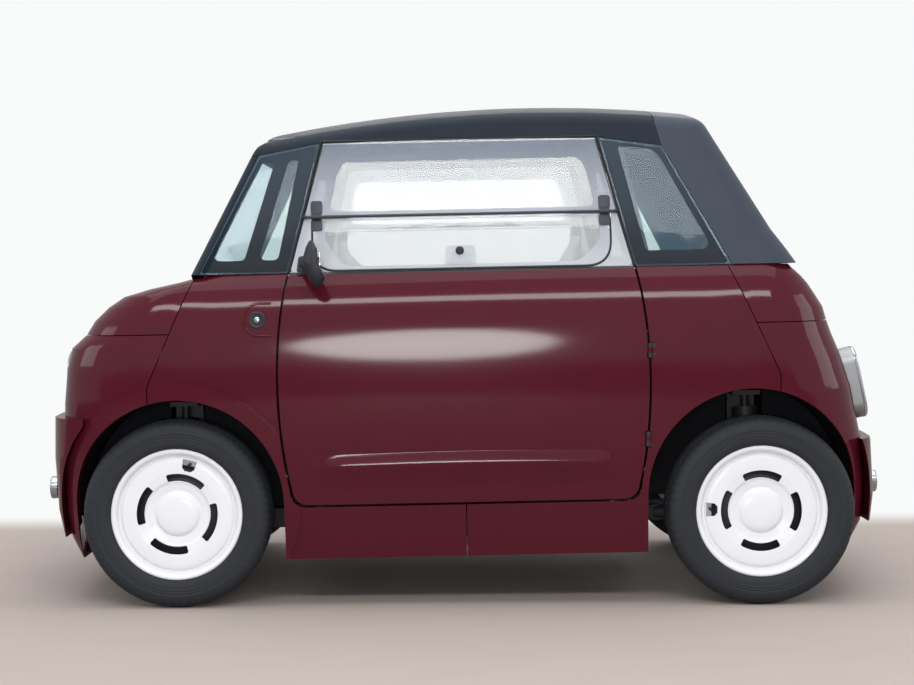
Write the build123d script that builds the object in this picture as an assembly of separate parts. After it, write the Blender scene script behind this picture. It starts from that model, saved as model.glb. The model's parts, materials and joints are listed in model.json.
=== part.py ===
"""Two-seat electric microcar, built as its real panels, glass, running gear and doors.

Millimetres. +X is forward, +Y is the car's left, +Z is up. Everything is drawn level, with the floor
parallel to the body, and the whole car is then tipped nose-down by RAKE so that all four tyres stand
on z = 0.
"""

from build123d import *
import math
import os

# ---------------------------------------------------------------- driving dimensions
WHEELBASE = 1728.0
FRONT_AXLE_X = 856.0                     # ahead of the middle of the doors
REAR_AXLE_X = FRONT_AXLE_X - WHEELBASE
RAKE = 0.85                              # degrees nose-down, as it stands unladen
STANCE_X = -12.01                        # puts the middle of the car's length at x = 0

TYRE_R = 278.5
TYRE_W = 155.0
BEAD_R = 180.0                           # bead seat radius of a 14 inch rim
TRACK_HALF = 590.0                       # tyre's middle plane from the car's middle

WALL = 26.0                              # thickness of the outer body mouldings
WALL_DROP = 9.0                          # and how far their inner form sits lower
DOOR_THICK = 46.0                        # lower door, skin to trim
DOOR_GAP = 7.0                           # shut line round a door
SEAM = 3.0                               # seam between two fixed mouldings
BELT_Z = 990.0                           # top of the painted body

ARCH_X = 847.0                           # wheel arch centre, front and rear alike
ARCH_Z = 320.0
ARCH_R = 311.0
FLARE_R = 361.0                          # outer edge of the raised band round an arch
FLARE_OUT = 7.0
LINER = 5.0                              # thickness of the arch liners
LINER_IN_Y = 374.0                       # inner wall of a wheel well

SHUT_Z = 824.0                           # line between bonnet and front moulding, and at the tail
SEAM_TOP_X = 787.0                       # seam between wing and end mouldings, at the belt
SEAM_LOW_X = 928.0                       # and above the arch
SEAM_LOW_Z = 673.0

HINGE_TOP = (-546.0, 697.0, 750.0)       # the two hinges of the left door, on one axis
HINGE_LOW = (-536.0, 691.0, 490.0)
HINGE_R = 7.0
HINGE_EYE = 12.0                         # height of the door's eye, between two eyes of the body
HINGE_LEAF = 3.0

TOWER_TOP = 612.0                        # spring seats above the axles
SHELF = 14.0
STEER_Y = 540.0                          # steering axis
STEER_RANGE = 28.0
HUB_FACE_Y = 600.0                       # face where the wheel bolts on

SPINDLE_R = 15.0
SPINDLE_FIT = 0.06                       # running clearance of the wheel bearing
DOOR_BELT_Z = 993.0
CABIN_FOOT_Z = 997.0                     # cabin skin starts just above the painted body
BUMPER_STEP = 27.0
BUMPER_FRONT_TOP = 580.0
BUMPER_REAR_TOP = 470.0
WIDE = 2000.0                            # longer than the car is wide

# Level outlines of the painted body, from the sill to the belt.
# columns: height, nose x, tail x, half width, nose corner radius, tail corner radius,
#          bow of the ends, bow of the sides
BODY_LEVELS = [
    (150.0, 1186.0, -1186.0, 644.0, 180.0, 180.0, 38.0, 12.0),
    (215.0, 1216.0, -1220.0, 655.0, 185.0, 185.0, 38.0, 12.0),
    (300.0, 1231.0, -1230.0, 670.0, 190.0, 190.0, 40.0, 14.0),
    (460.0, 1236.0, -1222.0, 690.0, 195.0, 195.0, 42.0, 16.0),
    (620.0, 1231.0, -1193.0, 697.0, 200.0, 200.0, 42.0, 18.0),
    (725.0, 1220.0, -1160.0, 698.0, 200.0, 200.0, 42.0, 18.0),
    (785.0, 1204.0, -1136.0, 697.0, 198.0, 198.0, 43.0, 18.0),
    (824.0, 1160.0, -1123.0, 695.0, 192.0, 192.0, 44.0, 18.0),
    (865.0, 1134.0, -1112.0, 692.0, 182.0, 182.0, 45.0, 18.0),
    (905.0, 1092.0, -1088.0, 685.0, 165.0, 165.0, 46.0, 18.0),
    (936.0, 1046.0, -1070.0, 675.0, 145.0, 145.0, 48.0, 18.0),
    (958.0, 968.0, -1052.0, 666.0, 125.0, 125.0, 48.0, 18.0),
    (976.0, 880.0, -1034.0, 656.0, 105.0, 105.0, 48.0, 18.0),
    (995.0, 800.0, -1008.0, 643.0, 90.0, 90.0, 40.0, 18.0),
]

# Level outlines of the cabin above it, same columns
CABIN_LEVELS = [
    (950.0, 836.0, -1050.0, 654.0, 55.0, 90.0, 10.0, 14.0),
    (985.0, 818.0, -1018.0, 647.0, 50.0, 85.0, 10.0, 14.0),
    (1045.0, 787.0, -978.0, 634.0, 48.0, 85.0, 10.0, 14.0),
    (1100.0, 759.0, -938.0, 623.0, 46.0, 85.0, 10.0, 14.0),
    (1540.0, 536.0, -684.0, 531.0, 40.0, 80.0, 10.0, 14.0),
]
CABIN_WALL = 38.0
ROOF_PEAK_X = -210.0
ROOF_PEAK_Z = 1516.0
ROOF_ARC_R = 4300.0                      # roof's curve from front to back
ROOF_EDGE_Y = 560.0
ROOF_EDGE_DROP = 62.0
ROOF_CORNER_R = 60.0
ROOF_REAR_R = 130.0                      # rounding where the roof turns down to the rear window

PANE = 5.0                               # glass
PANE_GAP = 2.5                           # round a bonded pane
BED = 0.4                                # bonding gap behind it


# ---------------------------------------------------------------- helpers
def face_in(*curves):
    """Flat face inside curves that close."""
    return Face(Wire.combine([edge for curve in curves for edge in curve.edges()])[0])


def prism_of(curves, low=-WIDE / 2, high=WIDE / 2):
    """Solid between two distances across the car, from side-view curves that close."""
    return Pos(0, low, 0) * Solid.extrude(face_in(*curves), Vector(0, high - low, 0))


def prism(points, low=-WIDE / 2, high=WIDE / 2):
    """Like prism_of, from side-view points (x, z)."""
    return prism_of([Polyline(*[(x, 0, z) for x, z in points], close=True)], low, high)


def block(x0, x1, y0, y1, z0, z1):
    """Box between two corners."""
    return Pos((x0 + x1) / 2, (y0 + y1) / 2, (z0 + z1) / 2) * Box(x1 - x0, y1 - y0, z1 - z0)


def across(x, z, r, low, high):
    """Cylinder along Y."""
    disc = Plane(origin=(x, low, z), x_dir=(1, 0, 0), z_dir=(0, 1, 0)) * Circle(r)
    return extrude(disc, amount=high - low, dir=(0, 1, 0))


def rod(start, end, r):
    """Round bar between two points."""
    a, b = Vector(*start), Vector(*end)
    return extrude(Plane(origin=a, z_dir=b - a) * Circle(r), amount=(b - a).length)


def turned(points):
    """Solid of revolution about the Y axis from (y, radius) points."""
    outline = Polyline(*[(r, y, 0) for y, r in points], close=True)
    return Solid.revolve(face_in(outline), 360, Axis.Y)


def solids(shape):
    return shape.solids() if hasattr(shape, "solids") else shape


def join(*shapes):
    """One node made of several solids."""
    found = []
    for shape in shapes:
        found.extend(solids(shape))
    return found[0] if len(found) == 1 else Compound(found)


def both(shape):
    """A left-hand piece and its mirror on the right."""
    return join(shape, mirror(shape, about=Plane.XZ))


def other_side(shape):
    """The same piece turned end for end, as the right-hand door is."""
    return Rot(0, 0, 180) * shape


# ---------------------------------------------------------------- painted body
def level_face(z, nose, tail, half, nose_corner, tail_corner, bow, side_bow, inset):
    nose, tail, half = nose - inset, tail + inset, half - inset
    edge = half - side_bow
    front_left, front_right = (nose - bow, edge, z), (nose - bow, -edge, z)
    rear_left, rear_right = (tail + bow, edge, z), (tail + bow, -edge, z)
    middle = (nose + tail) / 2
    outline = [
        ThreePointArc(front_left, (nose, 0, z), front_right),
        ThreePointArc(front_right, (middle, -half, z), rear_right),
        ThreePointArc(rear_right, (tail, 0, z), rear_left),
        ThreePointArc(rear_left, (middle, half, z), front_left),
    ]
    face = face_in(*outline)
    for end, corner in ((1, nose_corner), (-1, tail_corner)):
        corners = [v for v in face.vertices() if end * v.X > 300 and abs(abs(v.Y) - edge) < 0.5]
        face = face.fillet_2d(max(corner - inset, 12.0), corners)
    return face


def body_form(inset=0.0, drop=0.0):
    """The painted body as one closed form, shrunk by inset and lowered by drop."""
    return loft([level_face(z - drop, *rest, inset) for z, *rest in BODY_LEVELS], ruled=True)


def seam_line_x(z):
    """Where the seam between wing and end moulding runs, ahead of the middle."""
    slope = (SEAM_LOW_X - SEAM_TOP_X) / (BELT_Z - SEAM_LOW_Z)
    return SEAM_TOP_X + slope * (BELT_Z - max(z, SEAM_LOW_Z))


def end_region(gap, low, high, sign):
    """Everything beyond the wing seam at one end, between two heights."""
    points = [(seam_line_x(high) + gap, high), (1500, high), (1500, low), (seam_line_x(low) + gap, low)]
    if low < SEAM_LOW_Z < high:
        points.append((SEAM_LOW_X + gap, SEAM_LOW_Z))
    return prism([(sign * x, z) for x, z in points])


def wing_region(gap, sign):
    """Between the middle of the sill and the wing seam."""
    top, low = BELT_Z + 20, 100.0
    points = [(seam_line_x(top) - gap, top), (SEAM_LOW_X - gap, SEAM_LOW_Z), (SEAM_LOW_X - gap, low),
              (gap, low), (gap, top)]
    return prism([(sign * x, z) for x, z in points])


def door_outline(grow):
    """Side view of a door, alike fore and aft, grown for the opening in the body."""
    g = grow
    top = 1381.0 + g
    a, b = (407.0 + g, top), (508.0 + g, 993.0)
    c, d = (541.0 + g, 740.0), (514.0 + g, 372.0)
    low = 313.0 - g
    corner = 46.0
    e, f = (511.0 + g, low + corner), (511.0 + g - corner, low)
    k = corner * (1 - math.sqrt(0.5))
    mid = (511.0 + g - k, low + k)

    def p(q, s=1):
        return (s * q[0], 0, q[1])

    return [
        Line(p(a), p(b)), ThreePointArc(p(b), p(c), p(d)), Line(p(d), p(e)),
        ThreePointArc(p(e), p(mid), p(f)), Line(p(f), p(f, -1)),
        ThreePointArc(p(f, -1), p(mid, -1), p(e, -1)), Line(p(e, -1), p(d, -1)),
        ThreePointArc(p(d, -1), p(c, -1), p(b, -1)), Line(p(b, -1), p(a, -1)),
        ThreePointArc(p(a, -1), (0, 0, top + 4), p(a)),
    ]


def arch_space(radius=ARCH_R, low=-WIDE / 2, high=WIDE / 2):
    """Space of both wheel arches, open at the bottom."""
    space = []
    for x in (ARCH_X, -ARCH_X):
        space.append(across(x, ARCH_Z, radius, low, high) + block(x - radius, x + radius, low, high, 0, ARCH_Z))
    return space[0] + space[1]


outer = body_form()
flare_form = body_form(-FLARE_OUT)
inner = body_form(WALL, WALL_DROP)
bands = [across(x, ARCH_Z, FLARE_R, -WIDE / 2, WIDE / 2) & flare_form for x in (ARCH_X, -ARCH_X)]
cabin_well = block(-955.0, 765.0, -604.0, 604.0, 860.0, 1100.0)
painted = outer + bands[0] + bands[1] - inner - cabin_well - arch_space()
opening = prism_of(door_outline(DOOR_GAP))

front_wing = (painted & wing_region(SEAM / 2, 1)) - opening
rear_wing = (painted & wing_region(SEAM / 2, -1)) - opening
bonnet = painted & end_region(SEAM / 2, SHUT_Z + SEAM / 2, 1100.0, 1)
front_fascia = painted & end_region(SEAM / 2, 100.0, SHUT_Z - SEAM / 2, 1)
rear_deck = painted & end_region(SEAM / 2, SHUT_Z + SEAM / 2, 1100.0, -1)
rear_fascia = painted & end_region(SEAM / 2, 100.0, SHUT_Z - SEAM / 2, -1)

left_half = block(-1500, 1500, 0, 1000, 0, 1600)
right_half = block(-1500, 1500, -1000, 0, 0, 1600)

# bumper step at nose and tail
step_form = body_form(-BUMPER_STEP)
bumper_front = (step_form & block(1120.0, 1400.0, -1000, 1000, 215.0, BUMPER_FRONT_TOP)) - outer
bumper_rear = (step_form & block(-1400.0, -1120.0, -1000, 1000, 215.0, BUMPER_REAR_TOP)) - outer
end_keep = block(-1500, 1500, -1000, 1000, 0, 1200) - arch_space(FLARE_R + 2.0)
front_fascia = front_fascia + (bumper_front & end_keep)
rear_fascia = rear_fascia + (bumper_rear & end_keep)


# ---------------------------------------------------------------- cabin
def roof_form(inset):
    """Crowned roof band, revolved about an axis far below."""
    edge_y = ROOF_EDGE_Y + 60.0
    edge_z = ROOF_PEAK_Z - inset - ROOF_EDGE_DROP * (edge_y / ROOF_EDGE_Y) ** 2
    x = ROOF_PEAK_X
    section = face_in(
        ThreePointArc((x, edge_y, edge_z), (x, 0, ROOF_PEAK_Z - inset), (x, -edge_y, edge_z)),
        Line((x, -edge_y, edge_z), (x, -edge_y - 200, 700)),
        Line((x, -edge_y - 200, 700), (x, edge_y + 200, 700)),
        Line((x, edge_y + 200, 700), (x, edge_y, edge_z)),
    )
    axis = Axis((ROOF_PEAK_X, 0, ROOF_PEAK_Z - ROOF_ARC_R), (0, 1, 0))
    return Solid.revolve(section, 30, axis).rotate(axis, -15)


def cabin_form(inset=0.0):
    """The cabin as one closed form, shrunk by inset."""
    sides = loft([level_face(z, *rest, inset) for z, *rest in CABIN_LEVELS], ruled=True)
    form = sides & roof_form(inset)
    top = form.faces().sort_by(Axis.Z)[-1]
    for radius in (ROOF_CORNER_R, 50, 45, 40, 30):
        try:
            done = fillet(top.edges(), max(radius - inset, 12.0))
            print("inset", inset, "roof radius", radius)
            return done
        except Exception as trouble:
            pass
    return form


def side_view(points, reach=(200, 900)):
    """Both sides' prism over side-view points."""
    return prism(points, reach[0], reach[1]) + prism(points, -reach[1], -reach[0])


def end_view(points, x0, x1):
    """Prism along the car over (y, z) points."""
    face = face_in(Polyline(*[(x0, y, z) for y, z in points], close=True))
    return Solid.extrude(face, Vector(x1 - x0, 0, 0))


cab = cabin_form()
cab_back = cabin_form(PANE)
cab_bed = cabin_form(PANE + BED)
cab_in = cabin_form(CABIN_WALL)
above_belt = block(-1200, 1000, -800, 800, CABIN_FOOT_Z, 1600)
layer = (cab - cab_back) & above_belt

# lines that divide the cabin's skin, in the side view, as (x, z)
ROOF_LINE = [(612.0, 1348.0), (407.0, 1385.0), (0.0, 1388.0), (-407.0, 1385.0), (-603.0, 1356.0)]
TAIL_LINE = [(-603.0, 1356.0), (-585.0, 1422.0), (-578.0, 1600.0)]
TAIL_FOOT = (-808.0, 980.0)
PILLAR_LINE = [(790.0, 970.0), (598.0, 1352.0)]


def shifted(points, dx, dz=0.0):
    return [(x + dx, z + dz) for x, z in points]


screen_edge = [(-596.0, 980.0), (-505.0, 1410.0), (505.0, 1410.0), (596.0, 980.0)]
screen_hole = [(-545.0, 1040.0), (-470.0, 1375.0), (470.0, 1375.0), (545.0, 1040.0)]
rear_edge = [(-500.0, 1075.0), (-440.0, 1385.0), (440.0, 1385.0), (500.0, 1075.0)]
rear_hole = [(-460.0, 1115.0), (-405.0, 1350.0), (405.0, 1350.0), (460.0, 1115.0)]

gap = PANE_GAP / 2
screen_zone = end_view(screen_edge, 400, 1000)
windscreen = layer & end_view([(y - math.copysign(gap, y), z - (gap if z > 1200 else 0)) for y, z in screen_edge],
                              400, 1000)
rear_zone = end_view(rear_edge, -1200, -500)
rear_window = layer & end_view([(y - math.copysign(gap, y), z + (gap if z < 1200 else -gap))
                                for y, z in rear_edge], -1200, -500)

roof_region = prism([*shifted(ROOF_LINE, 0, gap), (-603.0 + gap, 1600), (700, 1600), (700, 1348.0)])
tail_region = prism([(-1300, 900), (TAIL_FOOT[0] - 40, 900), *shifted([TAIL_FOOT, *TAIL_LINE], -gap), (-1300, 1600)])
ahead_of_tail = prism([(1200, 900), (TAIL_FOOT[0] - 40, 900), *shifted([TAIL_FOOT, *TAIL_LINE], gap), (1200, 1600)])
roof_panel = (((layer & roof_region) & ahead_of_tail) - screen_zone) - prism_of(door_outline(DOOR_GAP))
rear_shell = (layer & tail_region) - rear_zone

door_cut = prism_of(door_outline(DOOR_GAP))
sides = (layer - screen_zone) & ahead_of_tail
below_roof = prism([*shifted(ROOF_LINE, 0, -gap), (-1300, 1356.0), (-1300, 900), (900, 900), (900, 1348.0 - gap)])
sides = (sides & below_roof) - door_cut
behind_pillar = prism([(-1200, 900), (900, 900), (790.0 - gap, 970.0), (598.0 - gap, 1352.0), (598.0 - gap, 1600),
                       (-1200, 1600)])
before_pillar = prism([(1200, 900), (825.0, 900), (790.0 + gap, 970.0), (598.0 + gap, 1352.0), (598.0 + gap, 1600),
                       (1200, 1600)])
front_half = block(0, 1500, -900, 900, 0, 1600)
rear_half = block(-1500, 0, -900, 900, 0, 1600)
pillar_covers = sides & before_pillar
front_quarter_glass = (sides & behind_pillar) & front_half
rear_quarter_glass = sides & rear_half

front_quarter_hole = side_view([(742.0, 1035.0), (590.0, 1335.0), (470.0, 1345.0), (535.0, 1035.0)])
rear_quarter_hole = side_view([(-745.0, 1035.0), (-590.0, 1335.0), (-490.0, 1345.0), (-555.0, 1035.0)])
roof_hole = block(-560, 500, -440, 440, 1300, 1600)
cabin_frame = (cab_bed - cab_in) & above_belt
for hole in (end_view(screen_hole, 400, 1000), end_view(rear_hole, -1200, -500), front_quarter_hole,
             rear_quarter_hole, roof_hole, door_cut):
    cabin_frame = cabin_frame - hole

# ---------------------------------------------------------------- doors, drawn for the left side
door_form = prism_of(door_outline(0.0), 300.0, 900.0)
lower_half = block(-900, 900, 0, 900, 0, DOOR_BELT_Z)
door_shell = (outer - body_form(DOOR_THICK)) & door_form & lower_half
door_ring = ((cab_bed - cabin_form(30.0)) & door_form) & block(-900, 900, 0, 900, DOOR_BELT_Z - 6.0, 1600)
UPPER_HOLE = [(-404.0, 1183.0), (-350.0, 1330.0), (350.0, 1330.0), (404.0, 1183.0)]
LOWER_HOLE = [(-400.0, 1012.0), (-424.0, 1140.0), (424.0, 1140.0), (400.0, 1012.0)]
FLIP = [(-407.0, 1001.0), (-436.0, 1120.0), (-428.0, 1150.0), (428.0, 1150.0), (436.0, 1120.0), (407.0, 1001.0)]
upper_hole = prism(UPPER_HOLE, 300, 900)
lower_hole = prism(LOWER_HOLE, 300, 900)
flip_hole = prism(shifted(FLIP, 0.0), 300, 900)
door_ring = door_ring - upper_hole - lower_hole
door_shell = door_shell + door_ring
door_skin = (layer & door_form)
door_glazing = door_skin - flip_hole
flip_window = door_skin & prism([(x * 0.99, z + (2.5 if z < 1100 else -2.5)) for x, z in FLIP], 300, 900)

# hinges: eyes in line, each on a leaf that runs inward through the shut line
axis_dir = (Vector(*HINGE_TOP) - Vector(*HINGE_LOW)).normalized()


def eye(centre, low, high, r):
    """Length of a hinge barrel between two distances along its axis."""
    return rod(Vector(*centre) + axis_dir * low, Vector(*centre) + axis_dir * high, r)


door_hinges = []
body_hinges = []
hinge_room = []
for centre in (HINGE_TOP, HINGE_LOW):
    x, y, z = centre
    half = HINGE_EYE / 2
    door_hinges.append(eye(centre, -half, half, HINGE_R))
    door_hinges.append(block(x - 1.0, x + 22.0, y - 34.0, y - 4.0, z - half + 1, z + half - 1))
    for side in (-1, 1):
        low, high = sorted((side * (half + 1.0), side * (half + 15.0)))
        body_hinges.append(eye(centre, low, high, HINGE_R))
        low, high = sorted((z + side * (half + 2.0), z + side * (half + 14.0)))
        body_hinges.append(block(x - 16.0, x - 1.0, y - 34.0, y - 4.0, low, high))
    hinge_room.append(eye(centre, -half - 18.0, half + 18.0, HINGE_R + 2.5))
    hinge_room.append(block(x - 1.0, x + 8.0, y - 36.0, y, z - half - 16.0, z + half + 16.0))
door_shell = door_shell - hinge_room[0] - hinge_room[1] - hinge_room[2] - hinge_room[3]
for piece in door_hinges:
    door_shell = door_shell + piece
body_hinge = body_hinges[0] + body_hinges[1]
for piece in body_hinges[2:]:
    body_hinge = body_hinge + piece

# door mirror: stalk and oval shell at the front lower corner of the window
mirror_shell = Pos(470, 745, 1040) * (Rot(0, 0, 0) * Box(60, 110, 130))
mirror_shell = fillet(mirror_shell.edges(), 24)
mirror_stalk = rod((462, 640, 1010), (466, 700, 1015), 11)
door_mirror = (mirror_shell + mirror_stalk) - cab


# ---------------------------------------------------------------- wheels, drawn about the origin
def wheel_disc():
    """Pressed wheel with its cover: rim section turned, four arc slots cut."""
    rim = turned([(-66, BEAD_R + 14), (-62, BEAD_R + 14), (-58, BEAD_R - 2), (-40, BEAD_R - 4), (-20, BEAD_R - 30),
                  (20, BEAD_R - 30), (40, BEAD_R - 4), (58, BEAD_R - 2), (62, BEAD_R + 14), (66, BEAD_R + 14),
                  (66, BEAD_R + 8), (60, BEAD_R - 10), (44, BEAD_R - 12), (24, BEAD_R - 38), (-24, BEAD_R - 38),
                  (-44, BEAD_R - 12), (-60, BEAD_R - 10), (-66, BEAD_R + 8)])
    disc = turned([(10, 0), (18, 0), (22, 60), (40, 90), (46, 100), (44, 135), (30, BEAD_R - 34),
                   (24, BEAD_R - 34), (36, 130), (38, 100), (32, 88), (14, 60), (10, 30)])
    slots = []
    for turn in (0, 90, 180, 270):
        ring = turned([(-80, 108), (80, 108), (80, 124), (-80, 124)])
        wedge = Rot(0, turn, 0) * prism([(0, 0), (200, -112), (200, 112)], -90, 90)
        slots.append(ring & wedge)
    for slot in slots:
        disc = disc - slot
    return rim + disc


tyre = turned([(-60, BEAD_R), (-70, BEAD_R + 18), (-76, 225), (-77.5, 240), (-72, 262), (-62, 273), (-50, TYRE_R),
               (50, TYRE_R), (62, 273), (72, 262), (77.5, 240), (76, 225), (70, BEAD_R + 18), (60, BEAD_R)])
rim_and_disc = wheel_disc()
tyre = tyre - turned([(-90, 0), (90, 0), (90, BEAD_R + 15), (-90, BEAD_R + 15)])
drum = turned([(-28, SPINDLE_R + SPINDLE_FIT), (8, SPINDLE_R + SPINDLE_FIT), (8, 60), (4, 100), (-28, 100)])


def at_hub(shape, x, z, side):
    """Place a wheel piece, its outer face outward."""
    placed = Pos(x, TRACK_HALF, z) * shape
    return placed if side > 0 else mirror(placed, about=Plane.XZ)


def hub_z(x):
    """Height of an axle in the level frame, tyres on the ground."""
    tilt = math.radians(RAKE)
    return (TYRE_R + math.sin(tilt) * x) / math.cos(tilt)


FRONT_Z = hub_z(FRONT_AXLE_X)
REAR_Z = hub_z(REAR_AXLE_X)

# ---------------------------------------------------------------- running gear, left side
fz, fx = FRONT_Z, FRONT_AXLE_X
spindle = across(fx, fz, SPINDLE_R, STEER_Y - 10, HUB_FACE_Y - 6)
upright = block(fx - 22, fx + 22, 516, 532, fz - 122, fz + 122)
for low in (-122, 108):
    upright = upright + block(fx - 18, fx + 18, 516, 552, fz + low, fz + low + 14)
steer_arm = block(fx - 140, fx - 10, 500, 524, fz - 16, fz - 2)
knuckle = upright + steer_arm + across(fx, fz, 34, 516, 556) + spindle

front_lower = block(fx - 18, fx + 18, 300, 554, fz - 140, fz - 128) + rod((fx, 500, fz - 134), (fx - 150, 318, fz - 134), 6)
front_upper = block(fx - 16, fx + 16, 345, 554, fz + 128, fz + 140)
strut = rod((fx, 440, fz - 128), (fx, 420, TOWER_TOP - SHELF), 12) + rod((fx, 432, fz + 30), (fx, 422, 560), 40)
strut = strut - block(fx - 100, fx + 100, 300, 554, TOWER_TOP - SHELF, 800)
strut = strut - block(fx - 17, fx + 17, 330, 554, fz + 122, fz + 146)
front_arms = front_lower + front_upper + strut

rx, rz = REAR_AXLE_X, REAR_Z
rear_spindle = across(rx, rz, SPINDLE_R, 500, HUB_FACE_Y - 6)
trailing_arm = rod((rx, 480, rz), (rx + 290, 390, 235.0), 20) + across(rx, rz, 36, 458, 556)
trailing_arm = trailing_arm + across(rx + 290, 235.0, 24, 345, 400)
rear_strut = rod((rx, 440, rz + 10), (rx + 10, 420, TOWER_TOP - SHELF), 12)
rear_strut = rear_strut + rod((rx + 2, 436, rz + 90), (rx + 9, 421, 560), 40)
rear_strut = rear_strut - block(rx - 100, rx + 100, 300, 554, TOWER_TOP - SHELF, 800)

# ---------------------------------------------------------------- chassis, floor, inner masses
rails = []
for y in (-320, 320):
    rails.append(block(-1120, 1120, y - 25, y + 25, 205, 265))
cross = [block(x - 25, x + 25, -345, 345, 205, 265) for x in (-1095, -560, 0, 560, 795, 930, 1095)]
chassis = rails[0]
for piece in [*rails[1:], *cross]:
    chassis = chassis + piece
sill_rail = both(block(-500, 500, 560, 610, 205, 265))
outrigger = [block(x - 20, x + 20, -611, 611, 215, 255) for x in (-470, 470)]
for piece in outrigger:
    chassis = chassis + piece
for piece in sill_rail.solids():
    chassis = chassis + piece

for x in (FRONT_AXLE_X, REAR_AXLE_X + 10):
    for y in (-1, 1):
        low, high = sorted((y * 300.0, y * 345.0))
        chassis = chassis + block(x - 42, x + 42, low, high, 265, TOWER_TOP)
        low, high = sorted((y * 345.0, y * 462.0))
        chassis = chassis + block(x - 42, x + 42, low, high, TOWER_TOP - SHELF, TOWER_TOP)

floor_pan = (body_form(WALL + 4.0, 0) & block(-520, 520, -700, 700, 268, 276))
bulkhead_form = body_form(WALL + 4.0, WALL_DROP)
wheel_room = both(arch_space(ARCH_R + LINER + 4, LINER_IN_Y - LINER - 4, WIDE / 2))
column_hole = rod((700.0, 290.0, 556.2), (500.0, 290.0, 683.8), 30)

hinge_slots = side_view([(-700, 470), (-500, 470), (-500, 510), (-700, 510)], (650, 900))
hinge_slots = hinge_slots + side_view([(-700, 730), (-500, 730), (-500, 770), (-700, 770)], (650, 900))
front_bulkhead = ((bulkhead_form & block(554, 562, -700, 700, 265, 858)) - wheel_room) - column_hole
front_bulkhead = front_bulkhead - other_side(hinge_slots)
rear_bulkhead = ((bulkhead_form & block(-562, -554, -700, 700, 265, 800)) - wheel_room) - hinge_slots

battery = block(-440, 240, -270, 270, 125, 205)
motor = block(768, 965, -190, 190, 265, 470)


def liner(x, sign):
    """Wheel well lining: arched roof and inner wall."""
    tube = across(x, ARCH_Z, ARCH_R + LINER, LINER_IN_Y - LINER, 660) - across(x, ARCH_Z, ARCH_R, LINER_IN_Y, 661)
    return tube & (body_form(WALL + 3.0, WALL_DROP) & block(x - 400, x + 400, 0, 700, ARCH_Z - 40, 800))


front_liner = liner(ARCH_X, 1) - block(fx - 52, fx + 52, 300, 380, 0, 629) - across(fx - 124, fz + 12, 30, 300, 400)
rear_liner = liner(-ARCH_X, -1) - block(rx - 52, rx + 62, 300, 380, 0, 629)
rear_liner = rear_liner - block(rx - 60, rx + 400, 300, 460, 0, rz + 60)

# ---------------------------------------------------------------- cabin fittings
dashboard = (body_form(WALL + 4.0, WALL_DROP + 4.0) & block(535, 700, -600, 600, 860, 990)) & cabin_well


def seat(x, y, width):
    """Thin shell seat: cushion and reclined back."""
    base = block(x - 230, x + 230, y - width / 2, y + width / 2, 420, 490)
    back = Pos(x - 250, y, 720) * (Rot(0, -18, 0) * Box(60, width - 20, 520))
    stand = block(x - 180, x + 180, y - width / 2 + 60, y + width / 2 - 60, 276, 420)
    return fillet(base.edges(), 18), fillet(back.edges(), 18), stand


driver_base, driver_back, driver_stand = seat(30.0, 290.0, 440.0)
passenger_base, passenger_back, passenger_stand = seat(-150.0, -290.0, 440.0)
driver_seat = join(driver_base + driver_back, driver_stand)
passenger_seat = join(passenger_base + passenger_back, passenger_stand)

COLUMN_FOOT = (600.0, 290.0, 620.0)
COLUMN_TOP = (318.0, 290.0, 800.0)
column_dir = (Vector(*COLUMN_TOP) - Vector(*COLUMN_FOOT)).normalized()
steering_column = rod(COLUMN_FOOT, COLUMN_TOP, 24)
wheel_at = Vector(*COLUMN_TOP) + column_dir * 8
wheel_plane = Plane(origin=wheel_at + column_dir * 30, z_dir=column_dir)
steering_wheel = wheel_plane.location * Torus(165, 14)
spokes = wheel_plane.location * (Box(320, 34, 12) + Pos(0, 0, 0) * Cylinder(52, 20))
steering_wheel = steering_wheel + spokes + rod(wheel_at, wheel_at + column_dir * 30, 22)

rack = across(fx - 124, fz + 12, 16, -290, 290) + across(fx - 124, fz + 12, 9, -522, 522)

# ---------------------------------------------------------------- lamps
head_x = 1190.0
headlamp = rod((head_x, 430, 700), (1232, 430, 700), 78)
rear_lamp = rod((-1100, 440, 655), (-1205, 440, 620), 70)
front_marker = rod((1225, 410, 353), (1276, 410, 353), 36)
rear_marker = rod((-1230, 410, 322), (-1262, 410, 322), 36)
for lamp in (headlamp, front_marker):
    front_fascia = front_fascia - both(lamp)
for lamp in (rear_lamp, rear_marker):
    rear_fascia = rear_fascia - both(lamp)
wiper = rod((828, 100, 1005), (668, 250, 1318), 5)

lock_button = Pos(597, 0, 862) * (Rot(90, 0, 0) * Cylinder(24.5, 16))
lock_button = Pos(0, 690, 0) * lock_button

hinge_clear = join(*[piece for piece in hinge_room if piece is not None])
hinge_clear = hinge_room[0] + hinge_room[1] + hinge_room[2] + hinge_room[3]
hinge_clear_right = other_side(hinge_clear)

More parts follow.
